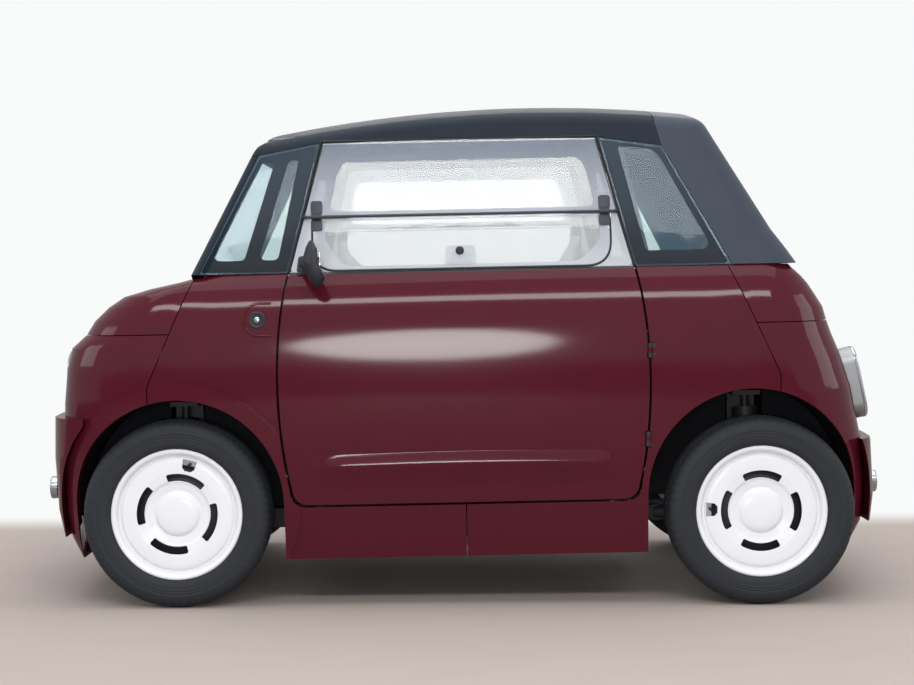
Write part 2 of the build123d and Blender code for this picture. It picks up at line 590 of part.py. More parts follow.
NODES = {
    "chassis": chassis,
    "battery_pack": battery,
    "drive_motor": motor,
    "floor_pan": floor_pan,
    "bulkheads": join(front_bulkhead, rear_bulkhead),
    "front_fascia": front_fascia,
    "bonnet": bonnet,
    "wing_front_left": front_wing & left_half,
    "wing_front_right": (front_wing & right_half) - other_side(body_hinge) - hinge_clear_right,
    "wing_rear_left": (rear_wing & left_half) - body_hinge - hinge_clear,
    "wing_rear_right": rear_wing & right_half,
    "rear_fascia": rear_fascia,
    "rear_deck": rear_deck,
    "cabin_frame": cabin_frame,
    "roof_panel": roof_panel,
    "rear_shell": rear_shell,
    "pillar_covers": pillar_covers,
    "windscreen": windscreen,
    "rear_window": rear_window,
    "quarter_glass_front": front_quarter_glass,
    "quarter_glass_rear": rear_quarter_glass,
    "arch_liners": join(both(front_liner), both(rear_liner)),
    "dashboard": dashboard,
    "seat_driver": driver_seat,
    "seat_passenger": passenger_seat,
    "steering_column": steering_column,
    "suspension_front": both(front_arms),
    "suspension_rear": both(trailing_arm + rear_strut + rear_spindle),
    "headlamps": both(headlamp),
    "rear_lamps": both(rear_lamp),
    "marker_lamps": join(both(front_marker), both(rear_marker)),
    "hinge_leaves": join(body_hinge, other_side(body_hinge)),
    "wiper": wiper,
    "door_left": door_shell,
    "door_glazing_left": door_glazing,
    "flip_window_left": flip_window,
    "mirror_left": door_mirror,
    "door_right": other_side(door_shell),
    "door_glazing_right": other_side(door_glazing),
    "flip_window_right": other_side(flip_window),
    "mirror_right": mirror(door_mirror, about=Plane.XZ) - other_side(cab),
    "knuckle_left": knuckle,
    "knuckle_right": mirror(knuckle, about=Plane.XZ),
    "steering_rack": rack,
    "steering_wheel": steering_wheel,
}
for end, x, z in (("front", FRONT_AXLE_X, FRONT_Z), ("rear", REAR_AXLE_X, REAR_Z)):
    for side, sign in (("left", 1), ("right", -1)):
        NODES["tyre_" + end + "_" + side] = at_hub(tyre, x, z, sign)
        NODES["wheel_" + end + "_" + side] = at_hub(join(rim_and_disc, drum), x, z, sign)

os.makedirs("parts", exist_ok=True)
stance = Pos(STANCE_X, 0, 0) * Rot(0, RAKE, 0)
low_x, high_x = 0.0, 0.0
for name, shape in NODES.items():
    placed = stance * shape
    box = placed.bounding_box()
    low_x, high_x = min(low_x, box.min.X), max(high_x, box.max.X)
    export_step(placed, "parts/" + name + ".step")
print("length from", round(low_x, 2), "to", round(high_x, 2), "middle", round((low_x + high_x) / 2, 2))
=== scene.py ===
"""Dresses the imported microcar: paint, glass, rubber, trim, lamps, wheels and cabin."""

import json
import logging
import math
from dataclasses import dataclass, field
from enum import Enum
from typing import Callable, Optional, Sequence, Union

import bmesh
import bpy
from mathutils import Matrix, Vector
from mathutils.bvhtree import BVHTree
from mathutils.geometry import delaunay_2d_cdt

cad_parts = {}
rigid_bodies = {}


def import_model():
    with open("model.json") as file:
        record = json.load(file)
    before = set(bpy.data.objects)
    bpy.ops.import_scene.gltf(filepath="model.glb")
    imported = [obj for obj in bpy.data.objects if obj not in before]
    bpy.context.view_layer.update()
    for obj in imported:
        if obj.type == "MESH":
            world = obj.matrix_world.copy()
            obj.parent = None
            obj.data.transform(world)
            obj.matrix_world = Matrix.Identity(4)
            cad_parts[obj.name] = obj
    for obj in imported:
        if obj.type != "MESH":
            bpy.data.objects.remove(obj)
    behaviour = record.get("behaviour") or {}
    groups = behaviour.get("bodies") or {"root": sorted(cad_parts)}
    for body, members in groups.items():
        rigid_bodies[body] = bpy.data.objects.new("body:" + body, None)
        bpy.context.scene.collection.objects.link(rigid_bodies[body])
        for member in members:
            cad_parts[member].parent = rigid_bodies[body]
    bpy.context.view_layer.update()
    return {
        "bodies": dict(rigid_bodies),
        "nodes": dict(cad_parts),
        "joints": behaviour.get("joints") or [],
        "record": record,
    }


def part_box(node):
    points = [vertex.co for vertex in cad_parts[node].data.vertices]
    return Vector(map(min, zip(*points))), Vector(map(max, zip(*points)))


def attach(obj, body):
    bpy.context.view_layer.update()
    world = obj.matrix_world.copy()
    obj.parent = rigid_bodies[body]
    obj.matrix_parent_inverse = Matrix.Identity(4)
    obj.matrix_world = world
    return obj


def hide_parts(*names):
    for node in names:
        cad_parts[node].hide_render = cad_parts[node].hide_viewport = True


LOG = logging.getLogger("microcar")
MM = 0.001
Point = tuple[float, float, float]
Colour = tuple[float, float, float]
Flat = tuple[float, float]
Loop = Sequence[Flat]
Nodes = dict[str, bpy.types.Object]
SIDES: dict[str, float] = {"left": 1.0, "right": -1.0}


def linear(red: int, green: int, blue: int) -> Colour:
    """Turn an 8-bit display colour into the linear colour that shaders use.

    Args:
        red: Red, 0 to 255.
        green: Green, 0 to 255.
        blue: Blue, 0 to 255.

    Returns:
        The linear colour.
    """
    parts = []
    for value in (red, green, blue):
        share = value / 255.0
        parts.append(share / 12.92 if share <= 0.04045 else ((share + 0.055) / 1.055) ** 2.4)
    return (parts[0], parts[1], parts[2])


def darker(colour: Colour, share: float) -> Colour:
    """A share of a colour."""
    return (colour[0] * share, colour[1] * share, colour[2] * share)


class Stance:
    """The level frame in which the car is drawn, tipped nose-down onto its tyres."""

    RAKE = math.radians(0.85)
    SHIFT_X = -12.01

    @classmethod
    def at(cls, x: float, y: float, z: float) -> Vector:
        """Place a point of the level frame.

        Args:
            x: Millimetres ahead of the middle of the doors.
            y: Millimetres to the left of the middle.
            z: Millimetres up.

        Returns:
            The point in the row frame, in metres.
        """
        cosine, sine = math.cos(cls.RAKE), math.sin(cls.RAKE)
        return Vector((cosine * x + sine * z + cls.SHIFT_X, y, -sine * x + cosine * z)) * MM

    @classmethod
    def matrix(cls) -> Matrix:
        """Matrix from the level frame in millimetres to the row frame in metres."""
        tilt = Matrix.Rotation(cls.RAKE, 4, "Y")
        return Matrix.Scale(MM, 4) @ Matrix.Translation((cls.SHIFT_X, 0.0, 0.0)) @ tilt

    @staticmethod
    def outward(at: Vector, sign: float) -> Matrix:
        """Matrix from a frame in millimetres whose Y points out of one side of the car."""
        return Matrix.Translation(at) @ Matrix.Diagonal((1.0, sign, 1.0, 1.0)) @ Matrix.Scale(MM, 4)


# ---------------------------------------------------------------- shader expressions
class Socket:
    """An output socket that can be used in arithmetic."""

    def __init__(self, board: "NodeBoard", socket: bpy.types.NodeSocket) -> None:
        """Wrap a socket of a board's node tree."""
        self.board = board
        self.socket = socket

    def _math(self, operation: str, *values: Union["Socket", float]) -> "Socket":
        """Add a Math node on some values, in order."""
        return self.board.node("ShaderNodeMath", {"operation": operation}, dict(enumerate(values)))

    def __add__(self, other: Union["Socket", float]) -> "Socket":
        """Sum of two values."""
        return self._math("ADD", self, other)

    __radd__ = __add__

    def __sub__(self, other: Union["Socket", float]) -> "Socket":
        """This value less another."""
        return self._math("SUBTRACT", self, other)

    def __rsub__(self, other: float) -> "Socket":
        """A number less this value."""
        return self._math("SUBTRACT", other, self)

    def __mul__(self, other: Union["Socket", float]) -> "Socket":
        """Product of two values."""
        return self._math("MULTIPLY", self, other)

    __rmul__ = __mul__

    def __truediv__(self, other: Union["Socket", float]) -> "Socket":
        """This value over another."""
        return self._math("DIVIDE", self, other)

    def __gt__(self, other: float) -> "Socket":
        """One where this value is above a number, else zero."""
        return self._math("GREATER_THAN", self, other)

    def larger(self, other: Union["Socket", float]) -> "Socket":
        """The larger of two values."""
        return self._math("MAXIMUM", self, other)

    def smaller(self, other: Union["Socket", float]) -> "Socket":
        """The smaller of two values."""
        return self._math("MINIMUM", self, other)

    def sine(self) -> "Socket":
        """Sine of this value."""
        return self._math("SINE", self)

    def beside(self, output: str) -> "Socket":
        """Another output of the same node."""
        return Socket(self.board, self.socket.node.outputs[output])


class NodeBoard:
    """The node tree of a material or a world, with one way of adding nodes."""

    def __init__(self, owner: Union[bpy.types.Material, bpy.types.World]) -> None:
        """Empty the node tree of a material or a world.

        Args:
            owner: The new material or world.
        """
        self.owner = owner
        owner.use_nodes = True
        self.tree = owner.node_tree
        self.tree.nodes.clear()

    @classmethod
    def material(cls, name: str) -> "NodeBoard":
        """Start an empty material."""
        return cls(bpy.data.materials.new(name))

    def node(
        self,
        kind: str,
        settings: Optional[dict] = None,
        inputs: Optional[dict] = None,
        output: Union[int, str] = 0,
        stops: Sequence[tuple[float, Colour]] = (),
    ) -> Socket:
        """Add one node.

        Args:
            kind: The node's type name.
            settings: Attributes to set before anything is linked.
            inputs: Values or sockets, by the name or number of the input.
            output: Name or number of the output to return.
            stops: Positions and colours of a ramp.

        Returns:
            The chosen output.
        """
        made = self.tree.nodes.new(kind)
        for key, value in (settings or {}).items():
            setattr(made, key, value)
        if stops:
            self._fill_ramp(made.color_ramp, stops)
        for key, value in (inputs or {}).items():
            self._feed(made.inputs[key], value)
        return Socket(self, made.outputs[output])

    @staticmethod
    def _fill_ramp(ramp: bpy.types.ColorRamp, stops: Sequence[tuple[float, Colour]]) -> None:
        """Set a ramp's stops.

        Args:
            ramp: The ramp to fill.
            stops: Positions and colours, in order.
        """
        while len(ramp.elements) < len(stops):
            ramp.elements.new(1.0)
        for element, (position, colour) in zip(ramp.elements, stops):
            element.position = position
            element.color = (*colour, 1.0)

    def _feed(self, socket: bpy.types.NodeSocket, value: object) -> None:
        """Link a socket into an input, or set the input's own value.

        Args:
            socket: The input.
            value: A socket, a number or a colour.
        """
        if isinstance(value, Socket):
            self.tree.links.new(value.socket, socket)
        elif socket.type == "RGBA":
            socket.default_value = (*value, 1.0)
        else:
            socket.default_value = value

    def place(self) -> Socket:
        """Position on the object, in metres of the row frame."""
        return self.node("ShaderNodeTexCoord", output="Object")

    def noise(self, scale: float, detail: float = 3.0, roughness: float = 0.5) -> Socket:
        """Noise over the object.

        Args:
            scale: Features per metre.
            detail: Octaves.
            roughness: How strong the finer octaves are.

        Returns:
            The noise, 0 to 1.
        """
        values = {"Vector": self.place(), "Scale": scale, "Detail": detail, "Roughness": roughness}
        return self.node("ShaderNodeTexNoise", inputs=values, output="Fac")

    def ramp(self, value: Socket, stops: Sequence[tuple[float, Colour]]) -> Socket:
        """Colours along a value."""
        return self.node("ShaderNodeValToRGB", inputs={"Fac": value}, stops=stops, output="Color")

    def mix(self, share: Socket, first: Union[Socket, Colour], second: Union[Socket, Colour]) -> Socket:
        """Blend two colours."""
        return self.node("ShaderNodeMix", {"data_type": "RGBA"}, {0: share, 6: first, 7: second}, 2)

    def blend(self, share: Socket, first: Socket, second: Socket) -> Socket:
        """Blend two shaders."""
        return self.node("ShaderNodeMixShader", inputs={0: share, 1: first, 2: second})

    def spread(self, value: Socket, low: float, high: float) -> Socket:
        """Map 0 to 1 onto a range."""
        return value * (high - low) + low

    def uneven(self, value: Socket, base: float, shares: Flat) -> Socket:
        """Map 0 to 1 onto the range between two shares of a number, up to 1."""
        return self.spread(value, base * shares[0], min(1.0, base * shares[1]))

    def axes(self, vector: Socket) -> tuple[Socket, Socket, Socket]:
        """Split a vector into its three values."""
        ahead = self.node("ShaderNodeSeparateXYZ", inputs={0: vector}, output="X")
        return (ahead, ahead.beside("Y"), ahead.beside("Z"))

    def bump(self, height: Socket, strength: float, distance: float) -> Socket:
        """Surface relief from a height."""
        values = {"Height": height, "Strength": strength, "Distance": distance}
        return self.node("ShaderNodeBump", inputs=values, output="Normal")

    def on_view(self) -> Socket:
        """One where the camera looks, straight, by a mirror or through glass, else zero."""
        path = self.node("ShaderNodeLightPath", output="Is Camera Ray")
        return path.larger(path.beside("Is Glossy Ray")).larger(path.beside("Is Transmission Ray"))

    def surface(self, **inputs: object) -> Socket:
        """Add the main shader, with _ in place of each space in its inputs' names."""
        named = {key.replace("_", " "): value for key, value in inputs.items()}
        return self.node("ShaderNodeBsdfPrincipled", inputs=named, output="BSDF")

    def done(self, shader: Socket) -> Union[bpy.types.Material, bpy.types.World]:
        """Connect the shader to the output.

        Args:
            shader: The shader to show.

        Returns:
            The finished material or world.
        """
        kind = "World" if isinstance(self.owner, bpy.types.World) else "Material"
        out = self.tree.nodes.new(f"ShaderNodeOutput{kind}")
        self.tree.links.new(shader.socket, out.inputs["Surface"])
        return self.owner


# ---------------------------------------------------------------- finishes
# clouds, smears and fine are noise: features per metre, octaves, and how strong the finer ones are
# uneven is the range of the roughness, as shares of its own value
@dataclass(frozen=True)
class Paint:
    """Gloss paint over a moulding: colour, clear coat and a faint orange peel."""

    name: str
    colour: Colour
    roughness: float = 0.4
    coat: float = 0.4
    coat_roughness: float = 0.09
    specular: float = 0.0
    flake: float = 0.10
    peel: float = 0.02
    peel_scale: float = 160.0
    peel_depth: float = 0.0006
    above: Optional[Colour] = None
    belt: float = 0.9915
    clouds: Flat = (9.0, 4.0)
    fine: Flat = (900.0, 2.0)
    uneven: Flat = (1.0, 1.25)

    def make(self) -> bpy.types.Material:
        """Build the paint, with another colour above the belt where one is given.

        Returns:
            The material.
        """
        board = NodeBoard.material(self.name)
        base = board.mix(board.noise(*self.clouds), self.colour, darker(self.colour, 1.0 - self.flake))
        if self.above:
            ahead, _, height = board.axes(board.place())
            base = board.mix(height + ahead * math.sin(Stance.RAKE) > self.belt, base, self.above)
        return board.done(
            board.surface(
                Base_Color=base,
                Roughness=board.uneven(board.noise(*self.fine), self.roughness, self.uneven),
                Coat_Weight=self.coat,
                Coat_Roughness=self.coat_roughness,
                Normal=board.bump(board.noise(self.peel_scale, 2.0), self.peel, self.peel_depth),
                Specular_IOR_Level=self.specular,
            )
        )


@dataclass(frozen=True)
class Moulded:
    """Moulded plastic or cast metal with a fine grain."""

    name: str
    colour: Colour
    roughness: float = 0.55
    metallic: float = 0.0
    grain_scale: float = 900.0
    grain: float = 0.12
    variation: float = 0.15
    grain_depth: float = 0.0003
    clouds: Flat = (14.0, 5.0)
    uneven: Flat = (0.92, 1.1)
    specular: float = 0.35

    def make(self) -> bpy.types.Material:
        """Build the grained finish.

        Returns:
            The material.
        """
        board = NodeBoard.material(self.name)
        cloud = board.noise(*self.clouds)
        return board.done(
            board.surface(
                Base_Color=board.mix(cloud, self.colour, darker(self.colour, 1.0 - self.variation)),
                Roughness=board.uneven(cloud, self.roughness, self.uneven),
                Metallic=self.metallic,
                Specular_IOR_Level=self.specular,
                Normal=board.bump(board.noise(self.grain_scale, 2.0), self.grain, self.grain_depth),
            )
        )


@dataclass(frozen=True)
class Printed:
    """A printed band on glass: its print colour, with painted shade and light from its foot to its top; glow
    is the share of light let through.
    """

    name: str
    # low and high are the colours at the foot and at the top; the change between them is painted shade and
    # light
    low: Colour
    high: Colour
    foot: float = 0.99
    top: float = 1.38
    roughness: float = 0.2
    glow: float = 0.0
    through: Colour = (0.90, 0.92, 0.94)
    specular: float = 0.3
    dulled: float = 0.12
    clouds: Flat = (11.0, 4.0)
    uneven: Flat = (1.0, 1.3)

    def make(self) -> bpy.types.Material:
        """Build the band.

        Returns:
            The material.
        """
        board = NodeBoard.material(self.name)
        height = board.axes(board.place())[2]
        share = (height - self.foot) / (self.top - self.foot)
        # painted shade and light: the colour changes with height, from the foot colour to the top colour
        base = board.ramp(share, ((0.0, self.low), (1.0, self.high)))
        cloud = board.noise(*self.clouds)
        face = board.surface(
            Base_Color=board.mix(cloud * self.dulled, base, darker(self.low, 0.8)),
            Roughness=board.uneven(cloud, self.roughness, self.uneven),
            Specular_IOR_Level=self.specular,
        )
        if not self.glow:
            return board.done(face)
        behind = board.node("ShaderNodeBsdfTransparent", inputs={"Color": self.through})
        return board.done(board.blend(board.uneven(cloud, self.glow, (1.0, 0.95)), face, behind))


@dataclass(frozen=True)
class Pane:
    """Window glass: a thin tinted sheet that shows what is behind it; clear is the share let through."""

    name: str
    tint: Colour
    clear: float
    through: Colour = (0.90, 0.94, 0.96)
    roughness: float = 0.03
    specular: float = 0.5
    smears: Flat = (7.0, 4.0)
    uneven: Flat = (1.0, 1.8)

    def make(self) -> bpy.types.Material:
        """Build the glass.

        Returns:
            The material.
        """
        board = NodeBoard.material(self.name)
        smear = board.noise(*self.smears)
        gloss = board.surface(
            Base_Color=board.mix(smear, self.tint, darker(self.tint, 0.9)),
            Roughness=board.uneven(smear, self.roughness, self.uneven),
            Specular_IOR_Level=self.specular,
        )
        behind = board.node("ShaderNodeBsdfTransparent", inputs={"Color": self.through})
        return board.done(board.blend(board.uneven(smear, self.clear, (1.0, 0.97)), gloss, behind))


@dataclass(frozen=True)
class Rubber:
    """Tyre or seal rubber, with patches of dust."""

    name: str
    colour: Colour
    dust: Colour
    roughness: float = 0.66
    specular: float = 0.3
    grain: float = 0.2
    grain_scale: float = 700.0
    grain_depth: float = 0.0004
    clouds: tuple[float, float, float] = (22.0, 6.0, 0.6)
    dusty: Flat = (0.05, 0.55)
    uneven: Flat = (0.9, 1.2)

    def make(self) -> bpy.types.Material:
        """Build the rubber.

        Returns:
            The material.
        """
        board = NodeBoard.material(self.name)
        cloud = board.noise(*self.clouds)
        return board.done(
            board.surface(
                Base_Color=board.mix(board.spread(cloud, *self.dusty), self.colour, self.dust),
                Roughness=board.uneven(cloud, self.roughness, self.uneven),
                Normal=board.bump(board.noise(self.grain_scale), self.grain, self.grain_depth),
                Specular_IOR_Level=self.specular,
            )
        )


@dataclass(frozen=True)
class Woven:
    """Woven cloth."""

    name: str
    colour: Colour
    thread: Colour
    pitch: float = 0.0022
    relief: float = 0.5
    relief_depth: float = 0.0006
    sheen: float = 0.25
    roughness: Flat = (0.8, 0.95)
    clouds: Flat = (12.0, 4.0)

    def make(self) -> bpy.types.Material:
        """Build the cloth.

        Returns:
            The material.
        """
        board = NodeBoard.material(self.name)
        across, over, up = board.axes(board.place())
        turn = 2 * math.pi / self.pitch
        weave = (((across + over) * turn).sine() * ((up + over) * turn).sine() + 1.0) * 0.5
        cloud = board.noise(*self.clouds)
        return board.done(
            board.surface(
                Base_Color=board.mix(weave * 0.5 + cloud * 0.5, self.colour, self.thread),
                Roughness=board.spread(cloud, *self.roughness),
                Normal=board.bump(weave, self.relief, self.relief_depth),
                Sheen_Weight=self.sheen,
            )
        )


@dataclass(frozen=True)
class Ground:
    """Pale paving that turns to plain white towards the back of the studio."""

    name: str
    colour: Colour
    white: Colour
    edge: float = -0.96
    fade: float = 0.5
    specular: float = 0.1
    roughness: Flat = (0.85, 0.95)
    clouds: Flat = (5.0, 5.0)

    def make(self) -> bpy.types.Material:
        """Build the paving.

        Returns:
            The material.
        """
        board = NodeBoard.material(self.name)
        cloud = board.noise(*self.clouds)
        paving = board.surface(
            Base_Color=board.mix(cloud, self.colour, darker(self.colour, 0.93)),
            Roughness=board.spread(cloud, *self.roughness),
            Specular_IOR_Level=self.specular,
        )
        glow = board.node("ShaderNodeEmission", inputs={"Color": self.white, "Strength": 1.0})
        depth = (self.edge - board.axes(board.place())[1]) / self.fade
        far = depth.larger(0.0).smaller(1.0)
        return board.done(board.blend(board.on_view() * far * far * (3.0 - 2.0 * far), paving, glow))


class Finish(Enum):
    """Every finish on the car."""

    BODY = Paint("body_paint", linear(76, 18, 32))
    DOOR = Paint("door_paint", linear(76, 18, 32), above=linear(66, 69, 76))
    ROOF = Moulded("roof_skin", linear(26, 34, 45), roughness=0.5, grain=0.05, variation=0.08, specular=0.12)
    SHELL = Moulded(
        "rear_shell_skin", linear(56, 63, 74), roughness=0.5, grain=0.05, variation=0.08, specular=0.15
    )
    TRIM = Moulded("black_trim", linear(34, 37, 42), roughness=0.6)
    # arch liners: black plastic, darker than the other trim as painted shade inside the arches
    LINER = Moulded("arch_liner", linear(16, 18, 22), roughness=0.75, specular=0.15)
    CLIP = Moulded("dark_clip", linear(40, 44, 52), roughness=0.45, grain=0.05)
    # printed bands with painted shade and light: the frit is lighter towards its top, and the door border is
    # darker towards its top
    FRIT = Printed("window_frit", linear(20, 27, 34), linear(44, 57, 70), top=1.40, specular=0.06)
    SILVER = Printed("door_window_border", linear(214, 216, 221), linear(92, 104, 126), glow=0.55)
    INNER = Moulded("cabin_plastic", linear(58, 60, 64), roughness=0.7)
    CHASSIS = Moulded("chassis_coating", linear(30, 32, 36), roughness=0.55)
    METAL = Moulded("cast_alloy", linear(150, 152, 155), roughness=0.45, metallic=1.0)
    CHROME = Moulded("bright_ring", linear(168, 171, 176), roughness=0.15, metallic=1.0, grain=0.0)
    MIRROR = Moulded("mirror_glass", linear(225, 230, 235), roughness=0.04, metallic=1.0, grain=0.0)
    BATTERY = Moulded("battery_case", linear(120, 122, 126), roughness=0.5, metallic=0.8)
    COVER = Paint("wheel_white", linear(228, 229, 232), coat=0.2, flake=0.02, peel=0.01)
    SIDE_GLASS = Pane("quarter_glass", linear(112, 142, 166), 0.87, (0.95, 1.0, 0.985))
    DOOR_GLASS = Pane("door_glass", linear(244, 251, 253), 0.78, (1.0, 1.0, 1.0))
    SCREEN = Pane("screen_glass", linear(90, 110, 118), 0.86, (0.86, 0.92, 0.94))
    LENS = Pane("lamp_lens", linear(205, 212, 218), 0.70, (0.93, 0.95, 0.96))
    RED_LENS = Moulded("red_lens", linear(150, 22, 26), roughness=0.12, grain=0.0, specular=0.5)
    TYRE = Rubber("tyre_rubber", linear(25, 28, 33), linear(46, 48, 54))
    SEAL = Rubber("seal_rubber", linear(18, 19, 21), linear(30, 31, 33), roughness=0.5)
    CLOTH = Woven("seat_cloth", linear(52, 54, 60), linear(78, 80, 88))
    PAVING = Ground("pale_floor", linear(178, 166, 159), linear(249, 251, 250))


class Finishes:
    """Builds each finish once."""

    _made: dict[Finish, bpy.types.Material] = {}

    @classmethod
    def get(cls, finish: Finish) -> bpy.types.Material:
        """Give a finish's material.

        Args:
            finish: Which finish.

        Returns:
            Its material.
        """
        if finish not in cls._made:
            cls._made[finish] = finish.value.make()
        return cls._made[finish]

    @classmethod
    def dress(cls, piece: bpy.types.Object, finish: Finish) -> None:
        """Give a whole piece one finish.

        Args:
            piece: The piece.
            finish: Its finish.
        """
        slots = piece.data.materials
        material = cls.get(finish)
        if not slots:
            slots.append(material)
        for index in range(len(slots)):
            slots[index] = material


# ---------------------------------------------------------------- studio
class LampOutline(Enum):
    """Outlines that a soft lamp can have."""

    RECTANGLE = "RECTANGLE"
    ELLIPSE = "ELLIPSE"


@dataclass(frozen=True)
class SoftLamp:
    """A soft lamp: where it hangs, what it points at, its width and height, and its power in watts."""

    name: str
    at: Point
    aim: Point
    size: Flat
    power: float
    outline: LampOutline = LampOutline.RECTANGLE

    def hang(self) -> None:
        """Hang the lamp, out of the camera's sight."""
        data = bpy.data.lights.new(self.name, "AREA")
        data.shape = self.outline.value
        data.size, data.size_y = self.size
        data.energy = self.power
        lamp = bpy.data.objects.new(self.name, data)
        direction = Vector(self.aim) - Vector(self.at)
        turn = direction.to_track_quat("-Z", "Y").to_matrix().to_4x4()
        lamp.matrix_world = Matrix.Translation(self.at) @ turn
        lamp.visible_camera = False
        bpy.context.scene.collection.objects.link(lamp)


@dataclass
class Studio:
    """Camera, floor, surroundings and soft lamps."""

    camera_at: Point = (0.01749, 5.865, 0.966)
    pitch: float = math.radians(2.02)
    roll: float = math.radians(0.35)
    lens: float = 69.8
    sensor: float = 36.0
    sight: float = 100.0
    floor_size: float = 40.0
    # a broad ceiling, a panel that the doors mirror, a strip for the shoulder line, and three fills
    lamps: tuple[SoftLamp, ...] = (
        SoftLamp("ceiling", (0.0, 0.4, 5.2), (0.0, 0.0, 0.5), (7.0, 6.0), 230.0),
        SoftLamp("door_panel", (0.25, 6.5, 0.98), (0.25, 0.0, 0.80), (1.9, 0.8), 95.0, LampOutline.ELLIPSE),
        SoftLamp("shoulder_strip", (0.0, 5.45, 3.75), (0.0, 0.6, 0.9), (5.0, 0.6), 140.0),
        SoftLamp("far_fill", (-1.0, -6.0, 2.8), (0.0, 0.0, 0.6), (5.0, 2.6), 110.0),
        SoftLamp("nose_fill", (6.0, 1.0, 2.4), (0.0, 0.0, 0.6), (3.0, 2.0), 60.0),
        SoftLamp("tail_fill", (-6.0, 1.0, 2.4), (0.0, 0.0, 0.6), (3.0, 2.0), 60.0),
    )
    backdrop: Colour = linear(249, 250, 250)
    sky: Colour = (0.84, 0.88, 0.95)
    sky_strength: float = 0.55

    def build(self) -> None:
        """Make the whole studio."""
        self._camera()
        self._floor()
        for lamp in self.lamps:
            lamp.hang()
        self._world()
        bpy.context.scene.view_settings.view_transform = "Standard"

    def _camera(self) -> None:
        """Place the camera beside the car, a little above its middle, looking slightly down."""
        forward = Vector((0.0, -math.cos(self.pitch), -math.sin(self.pitch)))
        right = Vector((-1.0, 0.0, 0.0))
        upward = Vector((0.0, -math.sin(self.pitch), math.cos(self.pitch)))
        level_right = math.cos(self.roll) * right - math.sin(self.roll) * upward
        level_up = math.sin(self.roll) * right + math.cos(self.roll) * upward
        turn = Matrix((level_right, level_up, -forward)).transposed().to_4x4()
        data = bpy.data.cameras.new("camera")
        data.lens = self.lens
        data.sensor_width = self.sensor
        data.clip_end = self.sight
        camera = bpy.data.objects.new("camera", data)
        camera.matrix_world = Matrix.Translation(self.camera_at) @ turn
        bpy.context.scene.collection.objects.link(camera)
        bpy.context.scene.camera = camera

    def _floor(self) -> None:
        """Lay a plain floor that shows pale to the camera, and keeps the car's shadow."""
        half = self.floor_size / 2
        corners = [(-half, -half, 0.0), (half, -half, 0.0), (half, half, 0.0), (-half, half, 0.0)]
        mesh = bpy.data.meshes.new("floor")
        mesh.from_pydata(corners, [], [(0, 1, 2, 3)])
        floor = bpy.data.objects.new("floor", mesh)
        bpy.context.scene.collection.objects.link(floor)
        Finishes.dress(floor, Finish.PAVING)

    def _world(self) -> None:
        """Surround the scene with an even pale light, plain white where it is seen."""
        board = NodeBoard(bpy.data.worlds.new("surround"))
        glow = board.node("ShaderNodeBackground", inputs={"Color": self.sky, "Strength": self.sky_strength})
        seen = board.node("ShaderNodeBackground", inputs={"Color": self.backdrop, "Strength": 1.0})
        bpy.context.scene.world = board.done(board.blend(board.on_view(), glow, seen))


@dataclass
class Solid:
    """Points and faces of one mesh."""

    points: list[Vector] = field(default_factory=list)
    faces: list[tuple[int, ...]] = field(default_factory=list)

    def moved(self, change: Matrix) -> "Solid":
        """Copy the mesh through a matrix."""
        return Solid([change @ point for point in self.points], list(self.faces))


